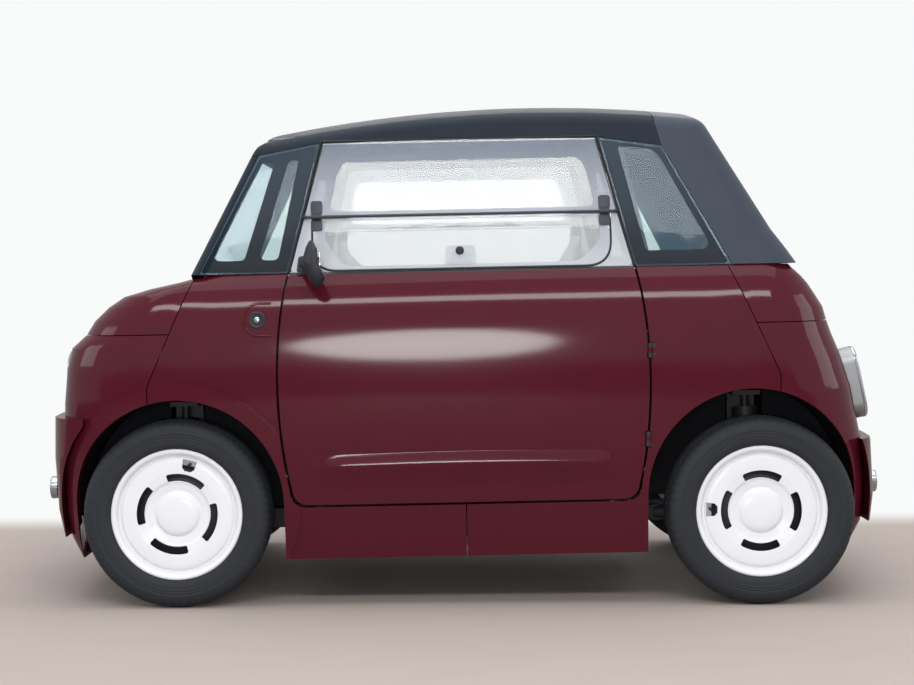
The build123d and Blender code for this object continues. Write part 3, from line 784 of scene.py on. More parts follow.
class Bench:
    """Turns meshes into finished pieces that ride on a body."""

    # points closer than this are one point, in a piece's own mesh and in the frame's facets
    FINE = 0.001 * MM
    FACET = 0.02 * MM
    # edges steeper than this stay sharp, on the frame's nodes and at the rims of thickened sheets
    CREASE = math.radians(27.0)
    RIM = 40.0

    @classmethod
    def mesh(cls, name: str, solid: Solid) -> bpy.types.Mesh:
        """Make a mesh with its doubled points welded and its faces turned outward.

        Args:
            name: The mesh's name.
            solid: Its points and faces.

        Returns:
            The mesh.
        """
        mesh = bpy.data.meshes.new(name)
        mesh.from_pydata([tuple(point) for point in solid.points], [], solid.faces)
        cls.weld(mesh, cls.FINE, outward=True)
        return mesh

    @staticmethod
    def weld(mesh: bpy.types.Mesh, reach: float, outward: bool = False) -> None:
        """Weld a mesh's doubled points.

        Args:
            mesh: The mesh to change.
            reach: Points closer than this, in metres, become one.
            outward: Whether the faces are turned outward too.
        """
        work = bmesh.new()
        work.from_mesh(mesh)
        bmesh.ops.remove_doubles(work, verts=work.verts, dist=reach)
        if outward:
            bmesh.ops.recalc_face_normals(work, faces=work.faces)
        work.to_mesh(mesh)
        work.free()

    @staticmethod
    def forget_normals(mesh: bpy.types.Mesh) -> None:
        """Drop the shading directions that a mesh was loaded with."""
        if "custom_normal" in mesh.attributes:
            mesh.attributes.remove(mesh.attributes["custom_normal"])

    @staticmethod
    def link(name: str, mesh: bpy.types.Mesh) -> bpy.types.Object:
        """Put a mesh into the scene.

        Args:
            name: The object's name.
            mesh: Its mesh.

        Returns:
            The object.
        """
        made = bpy.data.objects.new(name, mesh)
        bpy.context.scene.collection.objects.link(made)
        return made

    @staticmethod
    def mount(piece: bpy.types.Object, finish: Finish, body: str) -> None:
        """Dress a piece, and let it ride on a body.

        Args:
            piece: The piece.
            finish: Its finish.
            body: The body it rides on.
        """
        Finishes.dress(piece, finish)
        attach(piece, body)

    @classmethod
    def piece(
        cls,
        name: str,
        solid: Solid,
        finish: Finish,
        body: str = "body",
        sharp: float = 32.0,
        thickness: float = 0.0,
        bevel: float = 0.0,
        subdivide: int = 0,
    ) -> bpy.types.Object:
        """Make one piece.

        Args:
            name: The piece's name.
            solid: Its mesh, in metres.
            finish: Its finish.
            body: The body it rides on.
            sharp: Edges steeper than this many degrees stay sharp.
            thickness: Depth given to an open sheet, in metres.
            bevel: Width of rolled edges, in metres.
            subdivide: Levels of smoothing.

        Returns:
            The piece.
        """
        mesh = cls.mesh(name, solid)
        piece = cls.link(name, mesh)
        if thickness:
            depth = piece.modifiers.new("depth", "SOLIDIFY")
            depth.thickness = thickness
            depth.offset = -1.0
        if thickness and not bevel:
            rims = piece.modifiers.new("rims", "EDGE_SPLIT")
            rims.split_angle = math.radians(max(sharp, cls.RIM))
        if bevel:
            roll = piece.modifiers.new("roll", "BEVEL")
            roll.width = bevel
            roll.segments = 2
            roll.limit_method = "ANGLE"
            roll.angle_limit = math.radians(sharp)
            roll.harden_normals = False
        if subdivide:
            smooth = piece.modifiers.new("smooth", "SUBSURF")
            smooth.levels = subdivide
            smooth.render_levels = subdivide
        mesh.shade_smooth()
        mesh.set_sharp_from_angle(angle=math.radians(sharp))
        cls.mount(piece, finish, body)
        return piece


class Shape:
    """Meshes that the pieces are made from."""

    @staticmethod
    def turned(
        section: Loop,
        steps: int,
        closed: bool = False,
        keep: Optional[Callable[[int, int], bool]] = None,
    ) -> Solid:
        """Turn (distance along Y, radius) points about Y, in millimetres.

        Args:
            section: The points, in order.
            steps: Divisions of the turn.
            closed: Whether the last point joins the first.
            keep: Says of a (section, step) face whether it stays.

        Returns:
            The mesh.
        """
        solid = Solid()
        for step in range(steps):
            angle = 2 * math.pi * step / steps
            for along, radius in section:
                solid.points.append(Vector((-radius * math.cos(angle), along, radius * math.sin(angle))))
        count = len(section)
        for step in range(steps):
            here, following = step * count, (step + 1) % steps * count
            for row in range(count if closed else count - 1):
                upper = (row + 1) % count
                if keep is None or keep(row, step):
                    solid.faces.append((here + row, here + upper, following + upper, following + row))
        return solid

    @staticmethod
    def stacked(points: list[Vector], loop: int) -> Solid:
        """Join loops of points one after another, with both ends closed.

        Args:
            points: The loops' points, loop after loop.
            loop: Points in one loop.

        Returns:
            The mesh.
        """
        solid = Solid(points)
        last = len(points) - loop
        for low in range(0, last, loop):
            for step in range(loop):
                following, high = (step + 1) % loop, low + loop
                solid.faces.append((low + step, low + following, high + following, high + step))
        solid.faces.append(tuple(range(loop)))
        solid.faces.append(tuple(range(last, len(points))))
        return solid

    @classmethod
    def tube(cls, route: Sequence[Vector], radius: float, sides: int = 10) -> Solid:
        """Sweep a round section along points, with closed ends.

        Args:
            route: The points.
            radius: The section's radius, in the points' unit.
            sides: Divisions of the section.

        Returns:
            The mesh.
        """
        points: list[Vector] = []
        up = Vector((0.0, 0.0, 1.0))
        for index, point in enumerate(route):
            ahead = route[min(index + 1, len(route) - 1)]
            behind = route[max(index - 1, 0)]
            along = (ahead - behind).normalized()
            across = along.cross(up if abs(along.dot(up)) < 0.95 else Vector((1.0, 0.0, 0.0))).normalized()
            over = across.cross(along)
            for side in range(sides):
                angle = 2 * math.pi * side / sides
                points.append(point + (across * math.cos(angle) + over * math.sin(angle)) * radius)
        return cls.stacked(points, sides)

    @classmethod
    def pill(cls, half_wide: float, half_tall: float, layers: Loop, arc: int = 24) -> Solid:
        """Stack stadium-shaped loops, closed at both ends.

        The loops lie in the XY plane, long along Y, and rise along Z.

        Args:
            half_wide: Half of the first loop's width.
            half_tall: Half of its length.
            layers: Each loop's inset from the first one's outline, and its height.
            arc: Divisions of each round end.

        Returns:
            The mesh.
        """
        points: list[Vector] = []
        straight = max(half_tall - half_wide, 0.0)
        for inset, height in layers:
            radius = max(half_wide - inset, 0.0)
            for end in (1, -1):
                for step in range(arc + 1):
                    angle = math.pi * step / arc
                    out = straight + radius * math.sin(angle)
                    points.append(Vector((end * radius * math.cos(angle), end * out, height)))
        return cls.stacked(points, 2 * (arc + 1))


class Outline:
    """Flat outlines in (along, up) millimetres."""

    @staticmethod
    def rounded(corners: Loop, radius: Union[float, Sequence[float]], steps: int = 8) -> list[Flat]:
        """Round the corners of a polygon.

        Args:
            corners: The corners, in order.
            radius: One radius, or one for each corner.
            steps: Divisions of each round.

        Returns:
            The rounded outline.
        """
        count = len(corners)
        radii = [radius] * count if isinstance(radius, (int, float)) else list(radius)
        result: list[Flat] = []
        for index in range(count):
            here = Vector(corners[index])
            before = Vector(corners[index - 1]) - here
            after = Vector(corners[(index + 1) % count]) - here
            half = before.angle(after) / 2
            reach = min(radii[index] / math.tan(half), before.length * 0.49, after.length * 0.49)
            start, end = here + before.normalized() * reach, here + after.normalized() * reach
            for step in range(steps + 1):
                share = step / steps
                point = start.lerp(here, share).lerp(here.lerp(end, share), share)
                result.append((point.x, point.y))
        return result

    @staticmethod
    def spread(outline: Loop, step: float) -> list[Flat]:
        """Add points along an outline's long sides.

        Args:
            outline: The outline.
            step: The spacing that long sides are divided to.

        Returns:
            The outline with the points added.
        """
        result: list[Flat] = []
        for index, point in enumerate(outline):
            here, following = Vector(point), Vector(outline[(index + 1) % len(outline)])
            parts = max(1, int((following - here).length / step))
            for part in range(parts):
                middle = here.lerp(following, part / parts)
                result.append((middle.x, middle.y))
        return result

    @staticmethod
    def between(start: Flat, end: Flat, parts: int) -> list[Flat]:
        """Divide a line.

        Args:
            start: One end.
            end: The other end.
            parts: How many parts it is divided into.

        Returns:
            The points, with both ends.
        """
        (x0, z0), (x1, z1) = start, end
        return [(x0 + (x1 - x0) * step / parts, z0 + (z1 - z0) * step / parts) for step in range(parts + 1)]

    @staticmethod
    def inside(point: Flat, outline: Loop) -> bool:
        """Say whether a point is within an outline.

        Args:
            point: The point.
            outline: The outline.

        Returns:
            True where it is.
        """
        x, y = point
        result = False
        for index in range(len(outline)):
            (x0, y0), (x1, y1) = outline[index - 1], outline[index]
            if (y0 > y) != (y1 > y) and x < (x1 - x0) * (y - y0) / (y1 - y0) + x0:
                result = not result
        return result

    @classmethod
    def filled(cls, point: Flat, loops: Sequence[Loop]) -> bool:
        """Say whether a point is within the first outline and in none of the others."""
        return cls.inside(point, loops[0]) and not any(cls.inside(point, hole) for hole in loops[1:])


class Skin:
    """Finds the outside of the car's own nodes, so that trim can lie on it."""

    # where rays start, in millimetres from the middle: beside the car, inside it, and beyond its ends
    FAR_SIDE = 1500.0
    NEAR_MIDDLE = 300.0
    FAR_END = 2000.0
    # keeps the points inside a sheet off the outline's own lines
    NUDGE: Flat = (0.37, 0.41)

    def __init__(self, nodes: Nodes, names: Sequence[str]) -> None:
        """Gather some nodes' surfaces.

        Args:
            nodes: The frame's nodes by name.
            names: Which of them.
        """
        points: list[Vector] = []
        faces: list[tuple[int, ...]] = []
        for name in names:
            mesh = nodes[name].data
            start = len(points)
            points.extend(vertex.co.copy() for vertex in mesh.vertices)
            faces.extend(tuple(index + start for index in polygon.vertices) for polygon in mesh.polygons)
        self.tree = BVHTree.FromPolygons(points, faces)

    def meet(self, start: Vector, way: Vector) -> Vector:
        """Follow a ray to the surface, or carry the nearest face on to the ray.

        Args:
            start: Where the ray starts.
            way: Its direction.

        Returns:
            The place.
        """
        place = self.tree.ray_cast(start, way)[0]
        if place is None:
            place = start
            for _ in range(3):
                near, normal, _, _ = self.tree.find_nearest(place)
                slope = normal.dot(way)
                if abs(slope) < 0.2:
                    normal, slope = -way, -1.0
                place = start + way * ((near - start).dot(normal) / slope)
        return place

    def side(self, x: float, z: float, sign: float, lift: float = 0.0, inner: bool = False) -> Vector:
        """Place a side-view point on the car's side.

        Args:
            x: Millimetres ahead, level frame.
            z: Millimetres up.
            sign: 1 on the left, -1 on the right.
            lift: Millimetres outward from the surface.
            inner: Look from inside, and count from the inner face.

        Returns:
            The place in the row frame.
        """
        start, way = (self.NEAR_MIDDLE, sign) if inner else (self.FAR_SIDE, -sign)
        place = self.meet(Stance.at(x, sign * start, z), Vector((0.0, way, 0.0)))
        return place + Vector((0.0, sign * lift * MM, 0.0))

    def end(self, y: float, z: float, sign: float, lift: float = 0.0) -> Vector:
        """Place an end-view point on the car's nose or tail.

        Args:
            y: Millimetres to the left of the middle.
            z: Millimetres up.
            sign: 1 on the nose, -1 on the tail.
            lift: Millimetres outward from the surface.

        Returns:
            The place in the row frame.
        """
        place = self.meet(Stance.at(sign * self.FAR_END, y, z), Vector((-sign, 0.0, 0.0)))
        return place + Vector((sign * lift * MM, 0.0, 0.0))

    @classmethod
    def sheet(
        cls,
        outline: Loop,
        holes: Sequence[Loop],
        place: Callable[[float, float], Vector],
        step: float = 30.0,
    ) -> Solid:
        """Fill a flat outline, less its holes, and lay it on a surface.

        Args:
            outline: The outer outline.
            holes: Outlines that stay open.
            place: Puts a flat point on the surface.
            step: Spacing of the points inside.

        Returns:
            The sheet.
        """
        loops = [Outline.spread(loop, step) for loop in (outline, *holes)]
        flat: list[Vector] = []
        edges: list[tuple[int, int]] = []
        for loop in loops:
            start, count = len(flat), len(loop)
            flat.extend(Vector(point) for point in loop)
            edges.extend((start + index, start + (index + 1) % count) for index in range(count))
        low = (min(p[0] for p in outline), min(p[1] for p in outline))
        high = (max(p[0] for p in outline), max(p[1] for p in outline))
        for column in range(1, int((high[0] - low[0]) / step)):
            for row in range(1, int((high[1] - low[1]) / step)):
                point = (low[0] + column * step + cls.NUDGE[0], low[1] + row * step + cls.NUDGE[1])
                if Outline.filled(point, loops):
                    flat.append(Vector(point))
        found = delaunay_2d_cdt(flat, edges, [], 0, 1e-4)
        solid = Solid([place(point.x, point.y) for point in found[0]])
        for face in found[2]:
            middle = sum((found[0][index] for index in face), Vector((0.0, 0.0))) / len(face)
            if Outline.filled((middle.x, middle.y), loops):
                solid.faces.append(tuple(face))
        return solid


# ---------------------------------------------------------------- wheels and tyres
@dataclass(frozen=True)
class TreadCut:
    """Cuts into a band of the tread: its rows from the middle, the steps round the tyre, and the depth."""

    first: int
    last: int
    every: int
    depth: float
    phase: int = 0
    stagger: int = 0

    def meets(self, row: int, step: int, outer: bool) -> bool:
        """Say whether a point is cut.

        Args:
            row: Rows from the tread's middle.
            step: Steps round the tyre.
            outer: Whether the point is on the outer half, where the cuts are staggered.

        Returns:
            True where it is.
        """
        shifted = step + (self.stagger if outer else 0)
        return self.first <= row <= self.last and shifted % self.every == self.phase


@dataclass
class RoadWheels:
    """Tyres with their tread, and steel wheels under white slotted covers."""

    # how far each wheel has rolled: degrees from the valve pointing back
    turns: tuple[tuple[str, str, float], ...] = (
        ("front", "left", 76.0),
        ("front", "right", 30.0),
        ("rear", "left", 178.5),
        ("rear", "right", 200.0),
    )
    # outer face of the cover: (along the axle from the wheel's middle, radius)
    cover: Loop = (
        (53.0, 0.02), (53.0, 7), (52.8, 20), (52, 38), (50.2, 52), (47.6, 60), (43.4, 64.8), (40.2, 67),
        (39.6, 69), (40.4, 71.5), (42, 76), (43, 84), (44, 90), (45.4, 94), (48, 96), (49.4, 97.4),
        (50.4, 101), (52.4, 113), (52.9, 117.5), (53.6, 120), (54.2, 126), (54.3, 130), (54.3, 133),
        (54.2, 137), (54, 150), (53.4, 158), (52, 162), (50, 165), (46, 167.5), (43.5, 169), (42.6, 171),
        (43.4, 173.5), (47, 175.4), (53, 176.6), (60, 179), (64, 183), (66.2, 188), (65.6, 192.2),
        (63, 194.2), (60, 193.4),
    )
    cover_steps: int = 240
    cover_thickness: float = 2.4
    # the four slots: rows of the cover, half of each in degrees, and how much shorter their edge rows are
    slot_rows: tuple[int, int] = (14, 19)
    slot_half: float = 30.0
    slot_corner: float = 1.5
    # the valve's hole: rows of the cover, and half its width in degrees at each
    valve_rows: tuple[int, int] = (21, 27)
    valve_half: tuple[float, ...] = (4.2, 6.2, 8.2, 7.9, 7.6, 7.2)
    rim: Loop = (
        (60, 191), (56, 178), (36, 175.5), (30, 168), (20, 150), (-20, 150), (-34, 170), (-38, 175.5),
        (-58, 178), (-61, 190), (-64, 194), (-66.5, 193), (-67, 188), (-62, 174), (-38, 169), (-24, 144),
        (22, 144), (34, 166),
    )
    disc: Loop = ((26, 144), (20, 132), (24, 118), (32, 104), (34, 88), (26, 72), (30, 50), (30, 0.3))
    disc_thickness: float = 3.2
    drum: Loop = (
        (14, 0.3), (14, 58), (6, 66), (4, 96), (1, 100), (-24, 101), (-28, 104), (-30, 100), (-30, 20)
    )
    valve: tuple[float, ...] = (20.0, 30.0, 44.0, 46.0, 58.0)
    valve_at: float = 150.0
    valve_radius: float = 4.2
    # across the tread from its middle to the bead, one half
    tread: Loop = (
        (0, 278.5), (6, 278.5), (12.6, 278.4), (13.4, 277.2), (14.4, 271.6), (18.6, 271.6), (19.6, 277.1),
        (20.4, 278.2), (28, 278.0), (36.6, 277.6), (37.4, 276.6), (38.4, 271.2), (42, 271.2), (43, 276.4),
        (43.8, 277.2), (50, 276.6), (56, 275.2), (61, 273.2), (65.5, 270), (69.4, 266), (72.4, 261.4),
        (74.6, 256), (76.2, 249.5), (77.1, 243), (77.4, 238), (76.6, 236.8), (76.6, 235.6), (77.3, 234.6),
        (77.2, 230.6), (76.4, 229.6), (76.4, 228.4), (76.9, 227.2), (76.6, 222), (75.9, 220.6), (75.9, 219),
        (75.9, 214), (74, 206), (71.4, 200), (68.6, 196.2), (65.5, 194.6), (62, 195),
    )
    tread_steps: int = 288
    # on the shoulders, on the inner ribs and on the middle rib
    cuts: tuple[TreadCut, ...] = (
        TreadCut(16, 22, every=4, depth=2.6),
        TreadCut(7, 9, every=6, depth=4.5, stagger=2),
        TreadCut(0, 1, every=8, depth=3.0, phase=3),
    )

    def build(self, nodes: Nodes) -> None:
        """Make all four wheels, each in the middle of its own tyre.

        Args:
            nodes: The frame's nodes by name, not needed here.
        """
        for end, side, turn in self.turns:
            low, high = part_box(f"tyre_{end}_{side}")
            hub = (Vector(low) + Vector(high)) / 2
            place = Stance.outward(hub, SIDES[side]) @ Matrix.Rotation(math.radians(turn), 4, "Y")
            self._tyre(end, side, place)
            self._wheel(end, side, place)
            LOG.info("wheel %s %s at %.3f", end, side, hub.x)

    def _tyre(self, end: str, side: str, place: Matrix) -> None:
        """Make one tyre: grooves round it, and cuts across its ribs.

        Args:
            end: front or rear.
            side: left or right.
            place: From the wheel's own frame, in millimetres, to the row frame.
        """
        section = [(-y, r) for y, r in reversed(self.tread[1:])] + list(self.tread)
        middle = len(self.tread) - 1
        solid = Shape.turned(section, self.tread_steps, closed=True)
        for index, point in enumerate(solid.points):
            step, row = divmod(index, len(section))
            outer = row > middle
            depths = [cut.depth for cut in self.cuts if cut.meets(abs(row - middle), step, outer)]
            radius = math.hypot(point.x, point.z)
            share = (radius - sum(depths)) / radius
            solid.points[index] = Vector((point.x * share, point.y, point.z * share))
        body = f"roadwheel_{end}_{side}"
        tyre = Bench.piece(f"tread_{end}_{side}", solid.moved(place), Finish.TYRE, body, 40.0)
        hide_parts(f"tyre_{end}_{side}")

    def _stays(self, row: int, step: int) -> bool:
        """Say whether a face of the cover stays, or lies in a slot or the valve's hole.

        Args:
            row: The face's row, from the middle of the cover.
            step: Its step round the cover, from the valve.

        Returns:
            True where it stays.
        """
        angle = 360.0 * (step + 0.5) / self.cover_steps
        first, last = self.slot_rows
        if first <= row < last:
            near = abs((angle + 45.0) % 90.0 - 45.0)
            return near > self.slot_half - (self.slot_corner if row in (first, last - 1) else 0.0)
        first, last = self.valve_rows
        if first <= row < last:
            return min(angle, 360.0 - angle) > self.valve_half[row - first]
        return True

    def _wheel(self, end: str, side: str, place: Matrix) -> None:
        """Make one wheel: cover, rim, steel disc, drum and valve.

        Args:
            end: front or rear.
            side: left or right.
            place: From the wheel's own frame, in millimetres, to the row frame.
        """
        body = f"roadwheel_{end}_{side}"
        cover = Shape.turned(self.cover, self.cover_steps, keep=self._stays).moved(place)
        thickness = self.cover_thickness * MM
        shown = Bench.piece(f"cover_{end}_{side}", cover, Finish.COVER, body, 50.0, thickness)
        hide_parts(f"wheel_{end}_{side}")
        back = [(y - self.disc_thickness, r) for y, r in reversed(self.disc)]
        for name, section, steps, closed, finish in (
            ("rim", self.rim, 96, True, Finish.COVER),
            ("disc", (*self.disc, *back), 96, False, Finish.CHASSIS),
            ("drum", self.drum, 72, False, Finish.METAL),
        ):
            solid = Shape.turned(section, steps, closed).moved(place)
            Bench.piece(f"{name}_{end}_{side}", solid, finish, body)
        line = [Vector((-self.valve_at, along, 0.0)) for along in self.valve]
        stem = Shape.tube(line, self.valve_radius, 12)
        Bench.piece(f"valve_{end}_{side}", stem.moved(place), Finish.SEAL, body)


# ---------------------------------------------------------------- doors: shells, glass and seals
@dataclass
class DoorShells:
    """The doors' mouldings, with the window opening cut back to a slim frame."""

    opening: Loop = ((484, 1012), (394, 1367), (-394, 1367), (-484, 1012))
    corner: float = 26.0
    reach: Flat = (470.0, 730.0)

    def build(self, nodes: Nodes) -> None:
        """Cut both doors.

        Args:
            nodes: The frame's nodes by name.
        """
        for side, sign in SIDES.items():
            mesh = nodes[f"door_{side}"].data.copy()
            Bench.forget_normals(mesh)
            Bench.weld(mesh, Bench.FACET)
            whole = Bench.link(f"door_whole_{side}", mesh)
            cutter = Bench.link(f"door_cutter_{side}", self._cutter(side, sign))
            cut = whole.modifiers.new("opening", "BOOLEAN")
            cut.operation = "DIFFERENCE"
            cut.solver = "EXACT"
            cut.object = cutter
            shape = whole.evaluated_get(bpy.context.evaluated_depsgraph_get())
            done = bpy.data.meshes.new_from_object(shape)
            for used in (whole, cutter):
                bpy.data.objects.remove(used)
            shell = Bench.link(f"door_shell_{side}", done)
            done.shade_smooth()
            done.set_sharp_from_angle(angle=Bench.CREASE)
            Bench.mount(shell, Finish.DOOR, f"door_{side}_body")
            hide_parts(f"door_{side}")

    def _cutter(self, side: str, sign: float) -> bpy.types.Mesh:
        """Make the block that the opening is cut with.

        Args:
            side: left or right.
            sign: 1 on the left, -1 on the right.

        Returns:
            Its mesh.
        """
        loop = Outline.rounded(self.opening, self.corner)
        points = [Stance.at(x * sign, out * sign, z) for out in self.reach for x, z in loop]
        return Bench.mesh(f"door_cutter_{side}", Shape.stacked(points, len(loop)))


@dataclass(frozen=True)
class DoorGlass:
    """One door's glass, and the pieces that lie on it."""

    side: str
    sign: float
    skin: Skin
    thickness: float = 5.0

    def at(self, x: float, z: float, lift: float = 0.0) -> Vector:
        """Place a point of the left door's side view on this door's glass, which is turned end for end.

        Args:
            x: Millimetres ahead on the left door.
            z: Millimetres up.
            lift: Millimetres outward from the glass.

        Returns:
            The place in the row frame.
        """
        return self.skin.side(x * self.sign, z, self.sign, self.thickness + lift, inner=True)

    def sheet(self, outline: Loop, holes: Sequence[Loop], lift: float, step: float) -> Solid:
        """Lay a sheet on the glass."""
        return Skin.sheet(outline, holes, lambda x, z: self.at(x, z, lift), step)

    def piece(self, name: str, solid: Solid, finish: Finish, **shape: float) -> bpy.types.Object:
        """Make a piece that rides on this door."""
        return Bench.piece(f"{name}_{self.side}", solid, finish, f"door_{self.side}_body", **shape)


@dataclass
class DoorWindows:
    """The doors' upper panes: tinted border, gasket, flip-up pane, hinge bar, clips and latch."""

    frame: Loop = ((505.5, 999), (405.5, 1378), (-405.5, 1378), (-505.5, 999))
    frame_corner: float = 14.0
    upper_clear: Loop = ((-401, 1176), (-372, 1300), (-350, 1326), (347, 1324), (366, 1283), (391, 1176))
    upper_corner: float = 24.0
    lower_clear: Loop = ((404, 1149), (400, 1092), (352, 1014), (-352, 1016), (-411, 1078), (-412, 1149))
    lower_corners: tuple[float, ...] = (14, 60, 60, 60, 60, 14)
    border_lift: float = 1.3
    border_thickness: float = 0.8
    seal_lift: float = 0.6
    edge_radius: float = 1.6
    # the flip-up pane: front and rear, top and foot
    pane_ends: Flat = (438.5, -441.5)
    pane_rows: Flat = (1153.5, 1001.5)
    pane_corner: float = 90.0
    pane_top_corner: float = 3.0
    pane_thickness: float = 4.6
    # round the pane: the gap in the fixed glass's border, and how far in its own border starts
    pane_gap: float = 4.0
    pane_rim: float = 3.0
    gasket_out: float = 1.0
    gasket_radius: float = 3.1
    bar_z: float = 1161.0
    bar_half: float = 462.0
    bar_middle: float = -95.0
    bar_lift: float = 5.5
    bar_radius: float = 4.4
    # how far the pin reaches out of the bar's end and into it, in metres
    pin: Flat = (0.004, 0.006)
    pin_radius: float = 5.4
    clip_x: float = 426.0
    clip_half: float = 17.0
    clip_rows: tuple[tuple[str, float, float], ...] = (("lower", 1120.0, 1153.0), ("upper", 1169.0, 1209.0))
    clip_corner: float = 9.0
    clip_lift: float = 6.0
    clip_thickness: float = 5.8
    clip_edge: float = 1.4
    # where the knuckle starts and how long it is, in metres from the bar's end
    knuckle: Flat = (0.021, 0.030)
    knuckle_radius: float = 8.6
    tab: Loop = ((49, 1012), (45, 1068), (-41, 1068), (-45, 1012))
    tab_corners: tuple[float, ...] = (4, 16, 16, 4)
    tab_lift: float = 3.4
    tab_thickness: float = 3.0
    tab_edge: float = 0.9
    knob_at: Flat = (4.0, 1053.0)
    knob_lift: float = 3.0
    knob: Loop = (
        (0, 12.5), (1.5, 12.6), (3.2, 12.0), (3.8, 10.6), (8.6, 9.6), (10.2, 8.2), (10.6, 6.0), (10.8, 0.2)
    )

    def build(self, nodes: Nodes) -> None:
        """Fit both doors' windows.

        Args:
            nodes: The frame's nodes by name.
        """
        for side, sign in SIDES.items():
            glass = Skin(nodes, [f"door_glazing_{side}", f"flip_window_{side}"])
            door = DoorGlass(side, sign, glass)
            self._border(door)
            self._flip_pane(door)
            self._hinge(door)
            self._latch(door)

    def _pane_outline(self, inset: float) -> list[Flat]:
        """Outline of the flip-up pane, with its round lower corners.

        Args:
            inset: Millimetres inside the pane's own edge.

        Returns:
            The outline.
        """
        front, rear = self.pane_ends[0] - inset, self.pane_ends[1] + inset
        top, foot = self.pane_rows[0] - inset, self.pane_rows[1] + inset
        corner = self.pane_corner - inset
        corners = ((front, top), (front, foot), (rear, foot), (rear, top))
        return Outline.rounded(corners, (self.pane_top_corner, corner, corner, self.pane_top_corner), 12)

    def _border(self, door: DoorGlass) -> None:
        """Lay the printed borders on the fixed glass and on the flip-up pane, and seal the glass's ends.

        Args:
            door: The door's glass.
        """
        thickness = self.border_thickness * MM
        clear = [Outline.rounded(self.upper_clear, self.upper_corner), self._pane_outline(-self.pane_gap)]
        fixed = door.sheet(Outline.rounded(self.frame, self.frame_corner), clear, self.border_lift, 20.0)
        door.piece("glass_border", fixed, Finish.SILVER, thickness=thickness)
        clear = [Outline.rounded(self.lower_clear, self.lower_corners)]
        moving = door.sheet(self._pane_outline(self.pane_rim), clear, self.border_lift, 20.0)
        door.piece("pane_border", moving, Finish.SILVER, thickness=thickness)
        foot_front, top_front, top_rear, foot_rear = self.frame
        for name, foot, top in (("front", foot_front, top_front), ("rear", foot_rear, top_rear)):
            route = [door.at(x, z, self.seal_lift) for x, z in Outline.between(foot, top, 12)]
            door.piece(f"glass_edge_{name}", Shape.tube(route, self.edge_radius * MM, 8), Finish.SEAL)

    def _flip_pane(self, door: DoorGlass) -> None:
        """Make the pane itself, and the gasket round it below the hinge bar.

        Args:
            door: The door's glass.
        """
        glass = door.sheet(self._pane_outline(0.0), [], 0.0, 30.0)
        pane = door.piece("flip_pane", glass, Finish.DOOR_GLASS, thickness=self.pane_thickness * MM)
        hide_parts(f"flip_window_{door.side}")
        line = Outline.spread(self._pane_outline(-self.gasket_out), 12.0)
        top = max(point[1] for point in line)
        start = next(i for i, point in enumerate(line) if point[1] < top - 6 and line[i - 1][1] >= top - 6)
        route = [door.at(x, z, self.seal_lift) for x, z in line[start:] + line[:start] if z < top - 4]
        gasket = Shape.tube(route, self.gasket_radius * MM, 10)
        door.piece("pane_gasket", gasket, Finish.SEAL, sharp=60.0)

    def _hinge(self, door: DoorGlass) -> None:
        """Make the hinge bar with its pins, clips and knuckles.

        Args:
            door: The door's glass.
        """
        out = door.at(self.bar_middle, self.bar_z, self.bar_lift).y
        ends = [door.at(x, self.bar_z, self.bar_lift) for x in (self.bar_half, -self.bar_half)]
        front, rear = (Vector((end.x, out, end.z)) for end in ends)
        bar = [front.lerp(rear, share / 20) for share in range(21)]
        door.piece("hinge_bar", Shape.tube(bar, self.bar_radius * MM, 14), Finish.CLIP)
        for index, (tip, way) in enumerate(((front, 1), (rear, -1))):
            inward = (bar[1] - bar[0]).normalized() * way
            reach = [tip - inward * self.pin[0], tip + inward * self.pin[1]]
            pin = Shape.tube(reach, self.pin_radius * MM, 12)
            door.piece(f"hinge_pin_{index}", pin, Finish.SEAL)
            x = way * self.clip_x
            for label, low, high in self.clip_rows:
                near, far = x - self.clip_half, x + self.clip_half
                corners = ((near, low), (far, low), (far, high), (near, high))
                plate = door.sheet(Outline.rounded(corners, self.clip_corner), [], self.clip_lift, 12.0)
                depth, edge = self.clip_thickness * MM, self.clip_edge * MM
                door.piece(f"clip_{label}_{index}", plate, Finish.CLIP, thickness=depth, bevel=edge)
            start, length = self.knuckle
            line = [tip + inward * (start + length * share) for share in (0, 0.33, 0.66, 1)]
            door.piece(f"knuckle_{index}", Shape.tube(line, self.knuckle_radius * MM, 16), Finish.CLIP)

    def _latch(self, door: DoorGlass) -> None:
        """Make the latch's tab and its knob.

        Args:
            door: The door's glass.
        """
        tab = door.sheet(Outline.rounded(self.tab, self.tab_corners), [], self.tab_lift, 12.0)
        depth, edge = self.tab_thickness * MM, self.tab_edge * MM
        door.piece("latch_tab", tab, Finish.SILVER, thickness=depth, bevel=edge)
        face = Stance.outward(door.at(*self.knob_at, self.knob_lift), door.sign)
        door.piece("latch_knob", Shape.turned(self.knob, 40).moved(face), Finish.TRIM)


@dataclass
class DoorSeals:
    """Rubber seals on the body, in the gap round each door's window frame."""

    route: Loop = ((510.0, 1000.0), (412.0, 1387.0), (-412.0, 1387.0), (-510.0, 1000.0))
    radius: float = 4.4
    depth: float = 1.5

    def build(self, nodes: Nodes) -> None:
        """Fit the seal of both doors.

        Args:
            nodes: The frame's nodes by name.
        """
        flat = [self.route[0]]
        for start, end in zip(self.route, self.route[1:]):
            flat += Outline.between(start, end, 24)[1:]
        for side, sign in SIDES.items():
            glass = Skin(nodes, [f"door_glazing_{side}"])
            line = [glass.side(x * sign, z, sign, self.depth, inner=True) for x, z in flat]
            Bench.piece(f"door_seal_{side}", Shape.tube(line, self.radius * MM, 10), Finish.SEAL)


